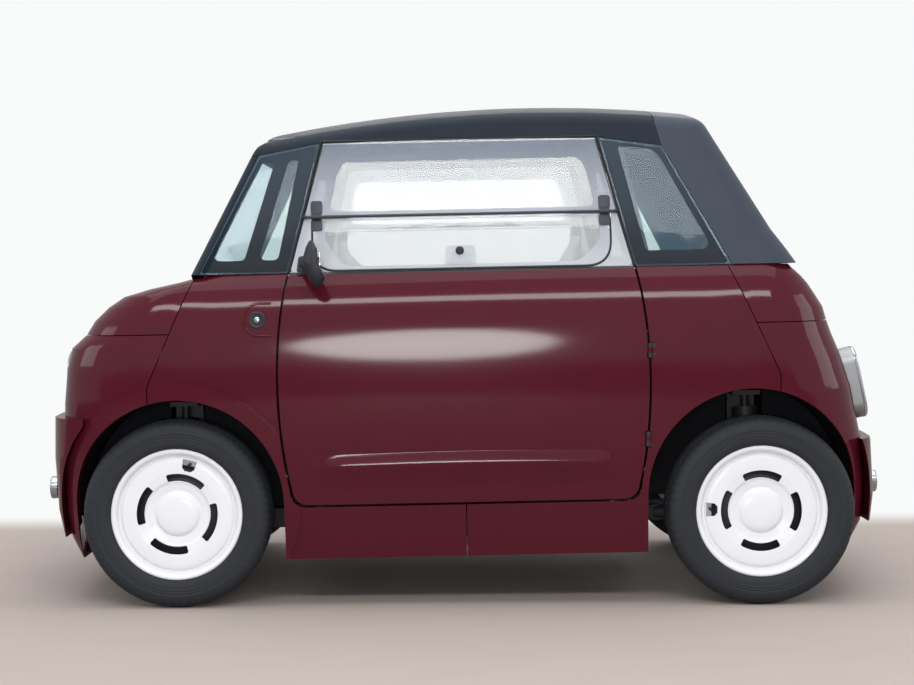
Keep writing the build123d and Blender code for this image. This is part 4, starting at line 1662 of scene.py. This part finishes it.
@dataclass
class PrintedGlass:
    """Dark printed bands on the fixed glass."""

    # side view, left side; both sides are alike
    front_pane: Loop = ((770, 1002), (593, 1342), (424, 1375), (516, 1002))
    front_clear: tuple[Loop, ...] = (
        ((738, 1036), (641, 1036), (549, 1332), (590, 1332)),
        ((599, 1036), (541, 1036), (477, 1338), (508, 1338)),
    )
    rear_pane: Loop = ((-786, 1002), (-602, 1348), (-424, 1375), (-516, 1002))
    rear_clear: Loop = ((-744, 1042), (-598, 1318), (-575, 1346), (-470, 1358), (-545, 1042))
    rear_corners: tuple[float, ...] = (26, 30, 20, 10, 14)
    # end views
    screen: Loop = ((-592, 1001), (-504, 1404), (504, 1404), (592, 1001))
    screen_clear: Loop = ((-552, 1046), (-478, 1374), (478, 1374), (552, 1046))
    tail: Loop = ((-496, 1079), (-438, 1382), (438, 1382), (496, 1079))
    tail_clear: Loop = ((-462, 1112), (-408, 1352), (408, 1352), (462, 1112))
    # corners of the bands' outer edge and of the clear glass in them, on the side panes and on the ends
    side_corners: Flat = (6.0, 20.0)
    end_corners: Flat = (12.0, 46.0)
    lift: float = 1.4
    thickness: float = 0.5

    def build(self, nodes: Nodes) -> None:
        """Lay every band.

        Args:
            nodes: The frame's nodes by name.
        """
        thickness = self.thickness * MM
        quarter = Skin(nodes, ["quarter_glass_front", "quarter_glass_rear"])
        front_clear = [Outline.rounded(loop, self.side_corners[1]) for loop in self.front_clear]
        panes = (
            ("front", self.front_pane, front_clear),
            ("rear", self.rear_pane, [Outline.rounded(self.rear_clear, self.rear_corners)]),
        )
        for side, sign in SIDES.items():
            for name, pane, clear in panes:
                outline = Outline.rounded(pane, self.side_corners[0])
                band = Skin.sheet(outline, clear, lambda x, z, s=sign: quarter.side(x, z, s, self.lift), 15.0)
                Bench.piece(f"quarter_band_{name}_{side}", band, Finish.FRIT, thickness=thickness)
        for name, node, sign, pane, clear in (
            ("screen_band", "windscreen", 1.0, self.screen, self.screen_clear),
            ("tail_band", "rear_window", -1.0, self.tail, self.tail_clear),
        ):
            skin = Skin(nodes, [node])
            outline = Outline.rounded(pane, self.end_corners[0])
            hole = Outline.rounded(clear, self.end_corners[1])
            band = Skin.sheet(outline, [hole], lambda y, z, s=sign, k=skin: k.end(y, z, s, self.lift), 20.0)
            Bench.piece(name, band, Finish.FRIT, thickness=thickness)


# ---------------------------------------------------------------- ledges, locks and mirrors
@dataclass
class DoorDetails:
    """The ledge pressed into each door's foot, and the lock beside the door with the bead round it."""

    ledge_x: Flat = (-478.0, 468.0)
    # down the ledge: height, and how far it stands out
    ledge: Loop = (
        (466, 0.0), (463, 0.5), (458, 1.8), (453, 3.2), (448, 4.7), (443, 6.1), (438, 7.5), (434, 8.5),
        (431, 8.9), (427, 8.8), (420, 8.0), (410, 6.2), (398, 3.9), (386, 2.0), (374, 0.7), (362, 0.0),
    )
    ledge_columns: int = 60
    ledge_bow: float = 7.0
    ledge_taper: float = 3.2
    ledge_lift: float = 0.25
    lock: Flat = (601.0, 862.0)
    # the lock's parts: (out of the wing, radius)
    lock_parts: tuple[tuple[str, Finish, Loop], ...] = (
        ("ring", Finish.CLIP, ((-2, 25.0), (2.4, 25.0), (4.4, 23.8), (5.0, 21.6), (4.2, 19.6), (1.2, 18.6))),
        ("well", Finish.SEAL, ((3.0, 19.4), (2.4, 14.0), (2.3, 10.6), (2.3, 0.3))),
        ("button", Finish.CHROME, ((2.2, 9.6), (4.6, 9.4), (6.2, 8.2), (7.0, 6.0), (7.2, 0.3))),
    )
    bead_turn: float = 47.0
    bead_middle: float = 595.0
    bead_tail: float = 560.0
    bead_radius: float = 4.2
    bead_sink: float = 1.2

    def build(self, nodes: Nodes) -> None:
        """Make both sides; the right door is the left one turned end for end.

        Args:
            nodes: The frame's nodes by name.
        """
        for side, sign in SIDES.items():
            ledge = self._ledge(Skin(nodes, [f"door_{side}"]), sign)
            Bench.piece(f"door_ledge_{side}", ledge, Finish.BODY, f"door_{side}_body", 60.0)
            self._lock(Skin(nodes, [f"wing_front_{side}", f"wing_rear_{side}"]), side, sign)

    def _ledge(self, skin: Skin, sign: float) -> Solid:
        """Lay the ledge over a door's skin, tapered to nothing at its ends.

        Args:
            skin: The door's skin.
            sign: 1 on the left, -1 on the right.

        Returns:
            The ledge.
        """
        solid = Solid()
        low, high = self.ledge_x
        for column in range(self.ledge_columns + 1):
            share = column / self.ledge_columns
            arch = math.sin(math.pi * share)
            ease = min(1.0, arch * self.ledge_taper)
            x = (low + (high - low) * share) * sign
            for z, out in self.ledge:
                up = z - self.ledge_bow + self.ledge_bow * arch
                solid.points.append(skin.side(x, up, sign, self.ledge_lift + out * ease))
        rows = len(self.ledge)
        for column in range(self.ledge_columns):
            for row in range(rows - 1):
                here = column * rows + row
                solid.faces.append((here, here + 1, here + rows + 1, here + rows))
        return solid

    def _lock(self, skin: Skin, side: str, sign: float) -> None:
        """Make the lock's barrel and the bead round its place.

        Args:
            skin: The wings' skin.
            side: left or right.
            sign: 1 on the left, -1 on the right.
        """
        x, z = self.lock
        face = Stance.outward(skin.side(x * sign, z, sign), sign)
        for name, finish, section in self.lock_parts:
            Bench.piece(f"lock_{name}_{side}", Shape.turned(section, 48).moved(face), finish)
        radius = self.bead_turn
        route = [(self.bead_tail, z + radius)]
        for step in range(25):
            angle = math.radians(90.0 - 7.5 * step)
            route.append((self.bead_middle + radius * math.cos(angle), z + radius * math.sin(angle)))
        route.append((self.bead_tail, z - radius))
        line = [skin.side(along * sign, up, sign, -self.bead_sink) for along, up in route]
        bead = Shape.tube(line, self.bead_radius * MM, 12)
        Bench.piece(f"lock_bead_{side}", bead, Finish.BODY, sharp=60.0)


@dataclass
class DoorMirrors:
    """Leaf-shaped mirror housings on short arms, with their glass facing back."""

    # side view of the housing: ahead, up
    leaf: Loop = (
        (440, 1098), (424, 1066), (424, 1026), (408, 996), (402, 978), (420, 950), (444, 968), (457, 1001),
        (467, 1028), (455, 1070),
    )
    # (distance from the middle, share of full size)
    sections: Loop = (
        (662, 0.10), (663, 0.45), (668, 0.74), (678, 0.92), (694, 1.0), (730, 1.0), (760, 0.95), (780, 0.84),
        (791, 0.66), (797, 0.42), (799, 0.12),
    )
    inner: float = 682.0
    # how far the housing falls back for each millimetre outward
    turn: float = 0.13
    leaf_corner: float = 9.0
    foot: Loop = ((452, 1050), (480, 1044), (486, 1000), (456, 996))
    foot_corner: float = 7.0
    foot_lift: float = 8.0
    foot_thickness: float = 9.0
    foot_edge: float = 1.6
    # the arm's place on the door, side view, and its end inside the housing
    arm: tuple[Flat, Point] = ((466.0, 1022.0), (446.0, 700.0, 1024.0))
    arm_lift: float = 2.0
    arm_radius: float = 13.0
    # end view of the glass: out, up
    glass: Loop = ((682, 1062), (778, 1056), (782, 1000), (686, 1000))
    glass_corner: float = 20.0
    glass_thickness: float = 2.0
    glass_x: float = 420.5

    def build(self, nodes: Nodes) -> None:
        """Make both mirrors.

        Args:
            nodes: The frame's nodes by name.
        """
        outline = Outline.spread(Outline.rounded(self.leaf, self.leaf_corner, 4), 12.0)
        middle_x, middle_z = (sum(values) / len(outline) for values in zip(*outline))
        for side, sign in SIDES.items():
            points: list[Vector] = []
            for out, share in self.sections:
                for along, up in outline:
                    x = (middle_x + (along - middle_x) * share - (out - self.inner) * self.turn) * sign
                    points.append(Stance.at(x, out * sign, middle_z + (up - middle_z) * share))
            body = f"door_{side}_body"
            solid = Shape.stacked(points, len(outline))
            housing = Bench.piece(f"mirror_housing_{side}", solid, Finish.TRIM, body, 60.0)
            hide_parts(f"mirror_{side}")
            self._arm(Skin(nodes, [f"door_glazing_{side}", f"door_{side}"]), side, sign)
            self._glass(side, sign)

    def _arm(self, skin: Skin, side: str, sign: float) -> None:
        """Make the foot on the window's border, and the arm out of it.

        Args:
            skin: The skin of the door and its glass.
            side: left or right.
            sign: 1 on the left, -1 on the right.
        """
        body = f"door_{side}_body"
        outline = Outline.rounded(self.foot, self.foot_corner)
        foot = Skin.sheet(outline, [], lambda x, z: skin.side(x * sign, z, sign, self.foot_lift), 12.0)
        depth, edge = self.foot_thickness * MM, self.foot_edge * MM
        Bench.piece(f"mirror_foot_{side}", foot, Finish.TRIM, body, thickness=depth, bevel=edge)
        (x, z), (end_x, end_y, end_z) = self.arm
        start = skin.side(x * sign, z, sign, self.arm_lift)
        end = Stance.at(end_x * sign, end_y * sign, end_z)
        arm = Shape.tube([start.lerp(end, step / 6) for step in range(7)], self.arm_radius * MM, 20)
        Bench.piece(f"mirror_arm_{side}", arm, Finish.TRIM, body)

    def _glass(self, side: str, sign: float) -> None:
        """Set the mirror's glass in the housing's rear face.

        Args:
            side: left or right.
            sign: 1 on the left, -1 on the right.
        """
        loop = Outline.rounded(self.glass, self.glass_corner, 6)
        face = Skin.sheet(
            loop,
            [],
            lambda y, z: Stance.at((self.glass_x - (y - self.inner) * self.turn) * sign, y * sign, z),
            16.0,
        )
        depth = self.glass_thickness * MM
        Bench.piece(f"mirror_glass_{side}", face, Finish.MIRROR, f"door_{side}_body", thickness=depth)


# ---------------------------------------------------------------- lamps
@dataclass
class Lamps:
    """Round headlamps and markers, and stadium-shaped rear lamps with a bright ring."""

    head: Point = (1181.0, 430.0, 700.0)
    head_radius: float = 77.0
    front_marker: Point = (1268.0, 410.0, 353.0)
    rear_marker: Point = (-1254.0, 410.0, 322.0)
    marker_radius: float = 35.0
    # parts of a round lamp at the headlamp's size: (out of its face, radius)
    round_parts: tuple[tuple[str, Finish, Loop], ...] = (
        ("ring", Finish.CHROME, (
            (-30, 74), (10, 77), (17, 76.5), (21, 74), (22.5, 71), (21.5, 68.5), (17, 67), (8, 66.5)
        )),
        ("bowl", Finish.MIRROR, ((9, 67), (0, 60), (-12, 46), (-20, 30), (-23, 16), (-23, 0.3))),
        ("cap", Finish.COVER, ((-23, 17), (-8, 17), (-3, 14), (-1, 8), (-1, 0.3))),
        ("lens", Finish.LENS, ((14, 67.5), (18, 60), (22.5, 46), (25.5, 30), (27, 15), (27.4, 0.3))),
    )
    round_depth: float = 0.9
    rear: Point = (-1190.0, 432.0, 628.0)
    rear_tilt: float = 11.0
    rear_half: Flat = (52.0, 112.0)
    # parts of a rear lamp: (inset, out of its face), and whether the last loop is closed
    rear_parts: tuple[tuple[str, Finish, Loop, bool], ...] = (
        ("ring", Finish.CHROME, (
            (2, 13), (0, 14), (0, 19), (1.5, 22), (4.5, 24), (8.5, 25), (11.5, 23), (12.5, 18), (13, 2)
        ), False),
        ("skirt", Finish.METAL, ((2, -34), (1, -4), (1, 14), (9, 15)), False),
        ("bowl", Finish.CLIP, ((12, 3), (18, -6), (44, -7)), True),
        ("glow", Finish.RED_LENS, ((22, -2), (20, 6), (24, 9), (30, 9.5), (34, 8), (35, 2)), False),
        ("lens", Finish.LENS, ((12, 17), (14, 21), (19, 24.5), (28, 27), (40, 28.5), (50, 29)), True),
    )

    def build(self, nodes: Nodes) -> None:
        """Make every lamp, and hide the frame's lamp nodes.

        Args:
            nodes: The frame's nodes by name, not needed here.
        """
        heads = [
            self._round(f"headlamp_{side}", self.head, self.head_radius, 1.0, sign)
            for side, sign in SIDES.items()
        ]
        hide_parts("headlamps")
        tails = [self._rear(side, sign) for side, sign in SIDES.items()]
        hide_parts("rear_lamps")
        markers = [
            self._round(f"{name}_marker_{side}", at, self.marker_radius, way, sign)
            for name, at, way in (("front", self.front_marker, 1.0), ("rear", self.rear_marker, -1.0))
            for side, sign in SIDES.items()
        ]
        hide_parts("marker_lamps")

    def _round(self, name: str, at: Point, radius: float, way: float, sign: float) -> bpy.types.Object:
        """Make a round lamp: ring, dished reflector, bulb cap and domed lens.

        Args:
            name: Its name.
            at: The middle of its face, level frame.
            radius: Outer radius of its ring.
            way: 1 on the nose, -1 on the tail.
            sign: 1 on the left, -1 on the right.

        Returns:
            The ring.
        """
        level = Matrix.Rotation(Stance.RAKE, 4, "Y")
        face = Matrix.Translation(Stance.at(at[0], at[1] * sign, at[2])) @ level
        face = face @ Matrix.Rotation(-way * math.pi / 2, 4, "Z") @ Matrix.Scale(MM, 4)
        size = radius / self.head_radius
        depth = size * self.round_depth
        pieces = []
        for label, finish, section in self.round_parts:
            scaled = [(along * depth, out * size) for along, out in section]
            pieces.append(Bench.piece(f"{name}_{label}", Shape.turned(scaled, 72).moved(face), finish))
        return pieces[0]

    def _rear(self, side: str, sign: float) -> bpy.types.Object:
        """Make one rear lamp, leaning with the tail.

        Args:
            side: left or right.
            sign: 1 on the left, -1 on the right.

        Returns:
            The ring.
        """
        lean = math.radians(self.rear_tilt)
        sine, cosine = math.sin(lean), math.cos(lean)
        rows = ((0.0, sine, -cosine), (1.0, 0.0, 0.0), (0.0, cosine, sine))
        level = Matrix.Rotation(Stance.RAKE, 4, "Y")
        x, y, z = self.rear
        face = Matrix.Translation(Stance.at(x, y * sign, z)) @ level @ Matrix(rows).to_4x4()
        face = face @ Matrix.Scale(MM, 4)
        pieces = []
        for label, finish, layers, closed in self.rear_parts:
            solid = Shape.pill(*self.rear_half, layers, 28)
            solid.faces = solid.faces[:-2] + (solid.faces[-1:] if closed else [])
            pieces.append(Bench.piece(f"rear_lamp_{label}_{side}", solid.moved(face), finish))
        return pieces[0]


# ---------------------------------------------------------------- cabin
@dataclass
class Seats:
    """Two seats: crowned cushions and backrests with sewn channels, and a moulded stand."""

    # who sits there, and the middle of the cushion: ahead, to the left
    places: tuple[tuple[str, float, float], ...] = (("driver", 30.0, 290.0), ("passenger", -150.0, -290.0))
    width: float = 436.0
    # length and thickness of the pads
    cushion: Flat = (456.0, 66.0)
    back: Flat = (516.0, 58.0)
    cushion_z: float = 455.0
    back_behind: float = 250.0
    back_z: float = 720.0
    recline: float = 18.0
    channels: int = 5
    channel_depth: float = 5.0
    # how far the channels reach, and where the piping runs, as shares of half the length and width
    channel_reach: Flat = (0.86, 0.82)
    piping: Flat = (0.87, 0.84)
    piping_width: float = 0.02
    piping_depth: float = 4.0
    edge_power: int = 7
    edge_roll: float = 0.42
    crown: float = 0.14
    waist: Flat = (0.035, 0.03)
    corner: float = 0.035
    grid: tuple[int, int] = (44, 40)
    fill: float = 0.7
    # half of the stand's length and width, and its corners
    stand_long: float = 180.0
    stand_wide: float = 162.0
    stand_corner: float = 34.0
    # the stand, from its foot: inset, height
    stand: Loop = ((0.0, 278.0), (6.0, 284.0), (14.0, 340.0), (14.0, 396.0), (0.0, 416.0), (2.0, 421.0))

    def build(self, nodes: Nodes) -> None:
        """Make both seats.

        Args:
            nodes: The frame's nodes by name, not needed here.
        """
        for who, x, y in self.places:
            base = self._pad(f"cushion_{who}", self.cushion, self._place(x, y, self.cushion_z, 0.0))
            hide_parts(f"seat_{who}")
            leaning = self._place(x - self.back_behind, y, self.back_z, 90.0 - self.recline)
            self._pad(f"backrest_{who}", self.back, leaning)
            self._stand(who, x, y)

    @staticmethod
    def _place(x: float, y: float, z: float, turn: float) -> Matrix:
        """Matrix from a pad's own frame, long along X and thick along Z."""
        return Stance.matrix() @ Matrix.Translation((x, y, z)) @ Matrix.Rotation(math.radians(turn), 4, "Y")

    def _height(self, u: float, v: float, thick: float, top: bool) -> float:
        """Height of a pad's face from the pad's middle.

        Args:
            u: Along the pad, -1 to 1.
            v: Across the pad, -1 to 1.
            thick: The pad's thickness.
            top: Whether it is the face with the channels and the piping.

        Returns:
            The height.
        """
        rim = (1.0 - abs(u) ** self.edge_power) * (1.0 - abs(v) ** self.edge_power)
        rise = 1.0 - self.crown + self.crown * (1.0 - u * u) * (1.0 - v * v)
        height = 0.5 * thick * max(rim, 0.0) ** self.edge_roll * rise
        if not top:
            return height
        if abs(u) < self.channel_reach[0] and abs(v) < self.channel_reach[1]:
            seam = abs(math.sin(0.5 * math.pi * self.channels * (v + 1.0)))
            height -= self.channel_depth * (1.0 - seam) ** 6
        along, across = self.piping
        if abs(v) < across:
            height -= self.piping_depth * math.exp(-(((abs(u) - along) / self.piping_width) ** 2))
        if abs(u) < along:
            height -= self.piping_depth * math.exp(-(((abs(v) - across) / self.piping_width) ** 2))
        return height

    def _pad(self, name: str, size: Flat, place: Matrix) -> bpy.types.Object:
        """Make one crowned pad with piped edges and channels sewn along it.

        Args:
            name: Its name.
            size: Length and thickness.
            place: Where it goes.

        Returns:
            The pad.
        """
        length, thick = size
        across, along = self.grid
        solid = Solid()
        for top in (1.0, -1.0):
            for row in range(along + 1):
                for column in range(across + 1):
                    u, v = 2.0 * row / along - 1.0, 2.0 * column / across - 1.0
                    waist = 1.0 - self.waist[0] * (1.0 - u * u) * abs(v) ** 3
                    waist -= self.waist[1] * (1.0 - v * v) * abs(u) ** 3
                    corner = 1.0 - self.corner * (abs(u) * abs(v)) ** 4
                    x, y = 0.5 * length * u * waist * corner, 0.5 * self.width * v * waist * corner
                    solid.points.append(Vector((x, y, top * self._height(u, v, thick, top > 0))))
        step = across + 1
        for layer in (0, (along + 1) * step):
            for row in range(along):
                for column in range(across):
                    here = layer + row * step + column
                    solid.faces.append((here, here + 1, here + step + 1, here + step))
        pad = Bench.piece(name, solid.moved(place), Finish.CLOTH, sharp=80.0, subdivide=1)
        return pad

    def _stand(self, who: str, x: float, y: float) -> None:
        """Make the moulded stand under the cushion.

        Args:
            who: The seat's name.
            x: Millimetres ahead, the middle of the cushion.
            y: Millimetres to the left.
        """
        long, wide = self.stand_long, self.stand_wide
        corners = ((x - long, y - wide), (x + long, y - wide), (x + long, y + wide), (x - long, y + wide))
        loop = Outline.rounded(corners, self.stand_corner)
        points: list[Vector] = []
        for inset, height in self.stand:
            share = 1.0 - inset / long
            for along, out in loop:
                points.append(Stance.at(x + (along - x) * share, y + (out - y) * share, height))
        Bench.piece(f"seat_stand_{who}", Shape.stacked(points, len(loop)), Finish.INNER)


@dataclass
class SteeringWheel:
    """Round rim, three spokes and a padded boss."""

    foot: Point = (600.0, 290.0, 620.0)
    top: Point = (318.0, 290.0, 800.0)
    above: float = 38.0
    rim_radius: float = 164.0
    grip: float = 13.5
    grip_steps: int = 16
    boss: Loop = (
        (-34, 20), (-16, 26), (-14, 52), (-8, 58), (2, 58), (9, 54), (13, 44), (15, 28), (15.6, 0.3)
    )
    # each spoke: out from the middle, up along the axle
    spoke: Loop = ((40, 2), (80, 1), (120, 0), (156, 0))
    spoke_radius: float = 11.0
    spoke_turns: tuple[float, ...] = (0.0, 180.0, 270.0)

    def build(self, nodes: Nodes) -> None:
        """Make the wheel where the column ends.

        Args:
            nodes: The frame's nodes by name, not needed here.
        """
        top, foot = Vector(self.top), Vector(self.foot)
        axle = (top - foot).normalized()
        side = Vector((0.0, 1.0, 0.0))
        frame = Matrix((side, axle, side.cross(axle).normalized())).transposed().to_4x4()
        place = Stance.matrix() @ Matrix.Translation(top + axle * self.above) @ frame
        body = "steering_wheel_body"
        section = []
        for step in range(self.grip_steps):
            angle = 2 * math.pi * step / self.grip_steps
            section.append((self.grip * math.sin(angle), self.rim_radius + self.grip * math.cos(angle)))
        solid = Shape.turned(section, 96, closed=True).moved(place)
        rim = Bench.piece("steering_rim", solid, Finish.TRIM, body, 60.0)
        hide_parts("steering_wheel")
        Bench.piece("steering_boss", Shape.turned(self.boss, 64).moved(place), Finish.INNER, body, 50.0)
        for index, turn in enumerate(self.spoke_turns):
            way = Vector((math.cos(math.radians(turn)), 0.0, math.sin(math.radians(turn))))
            route = [way * out + Vector((0.0, up, 0.0)) for out, up in self.spoke]
            spoke = Shape.tube(route, self.spoke_radius, 16).moved(place)
            Bench.piece(f"steering_spoke_{index}", spoke, Finish.TRIM, body, 50.0)


# ---------------------------------------------------------------- carried-over nodes
class CarriedNodes:
    """Finishes for the frame's own nodes, also for those that a piece stands for."""

    FINISHES: dict[Finish, tuple[str, ...]] = {
        Finish.BODY: (
            "front_fascia", "bonnet", "wing_front_left", "wing_front_right", "wing_rear_left",
            "wing_rear_right", "rear_fascia", "rear_deck",
        ),
        Finish.DOOR: ("door_left", "door_right"),
        Finish.ROOF: ("roof_panel", "pillar_covers"),
        Finish.SHELL: ("rear_shell",),
        Finish.TRIM: (
            "floor_pan", "bulkheads", "steering_column", "steering_wheel", "wiper", "mirror_left",
            "mirror_right",
        ),
        Finish.INNER: ("cabin_frame", "dashboard"),
        Finish.LINER: ("arch_liners",),
        Finish.SCREEN: ("windscreen",),
        Finish.SIDE_GLASS: ("rear_window", "quarter_glass_front", "quarter_glass_rear"),
        Finish.DOOR_GLASS: (
            "door_glazing_left", "door_glazing_right", "flip_window_left", "flip_window_right"
        ),
        Finish.LENS: ("headlamps", "rear_lamps", "marker_lamps"),
        Finish.CLOTH: ("seat_driver", "seat_passenger"),
        Finish.CHASSIS: ("chassis", "suspension_front", "suspension_rear", "hinge_leaves"),
        Finish.METAL: ("drive_motor", "knuckle_left", "knuckle_right", "steering_rack"),
        Finish.BATTERY: ("battery_pack",),
        Finish.TYRE: ("tyre_front_left", "tyre_front_right", "tyre_rear_left", "tyre_rear_right"),
        Finish.COVER: ("wheel_front_left", "wheel_front_right", "wheel_rear_left", "wheel_rear_right"),
    }

    def dress(self, nodes: Nodes) -> None:
        """Give every node its finish and smooth its curved faces.

        Args:
            nodes: The frame's nodes by name.
        """
        finishes = {name: finish for finish, names in self.FINISHES.items() for name in names}
        for name, node in nodes.items():
            Finishes.dress(node, finishes[name])
            node.data.shade_smooth()
            weld = node.modifiers.new("weld", "WELD")
            weld.merge_threshold = Bench.FACET
            split = node.modifiers.new("split", "EDGE_SPLIT")
            split.split_angle = Bench.CREASE
            Bench.forget_normals(node.data)


def main() -> None:
    """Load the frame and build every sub-assembly."""
    logging.basicConfig(level=logging.INFO, format="%(name)s: %(message)s")
    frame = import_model()
    Studio().build()
    CarriedNodes().dress(frame["nodes"])
    LOG.info("dressed %d nodes", len(frame["nodes"]))
    for made in (
        RoadWheels(),
        DoorShells(),
        DoorWindows(),
        DoorSeals(),
        PrintedGlass(),
        DoorDetails(),
        DoorMirrors(),
        Lamps(),
        Seats(),
        SteeringWheel(),
    ):
        made.build(frame["nodes"])
        LOG.info("built %s", type(made).__name__)


if __name__ == "__main__":
    main()
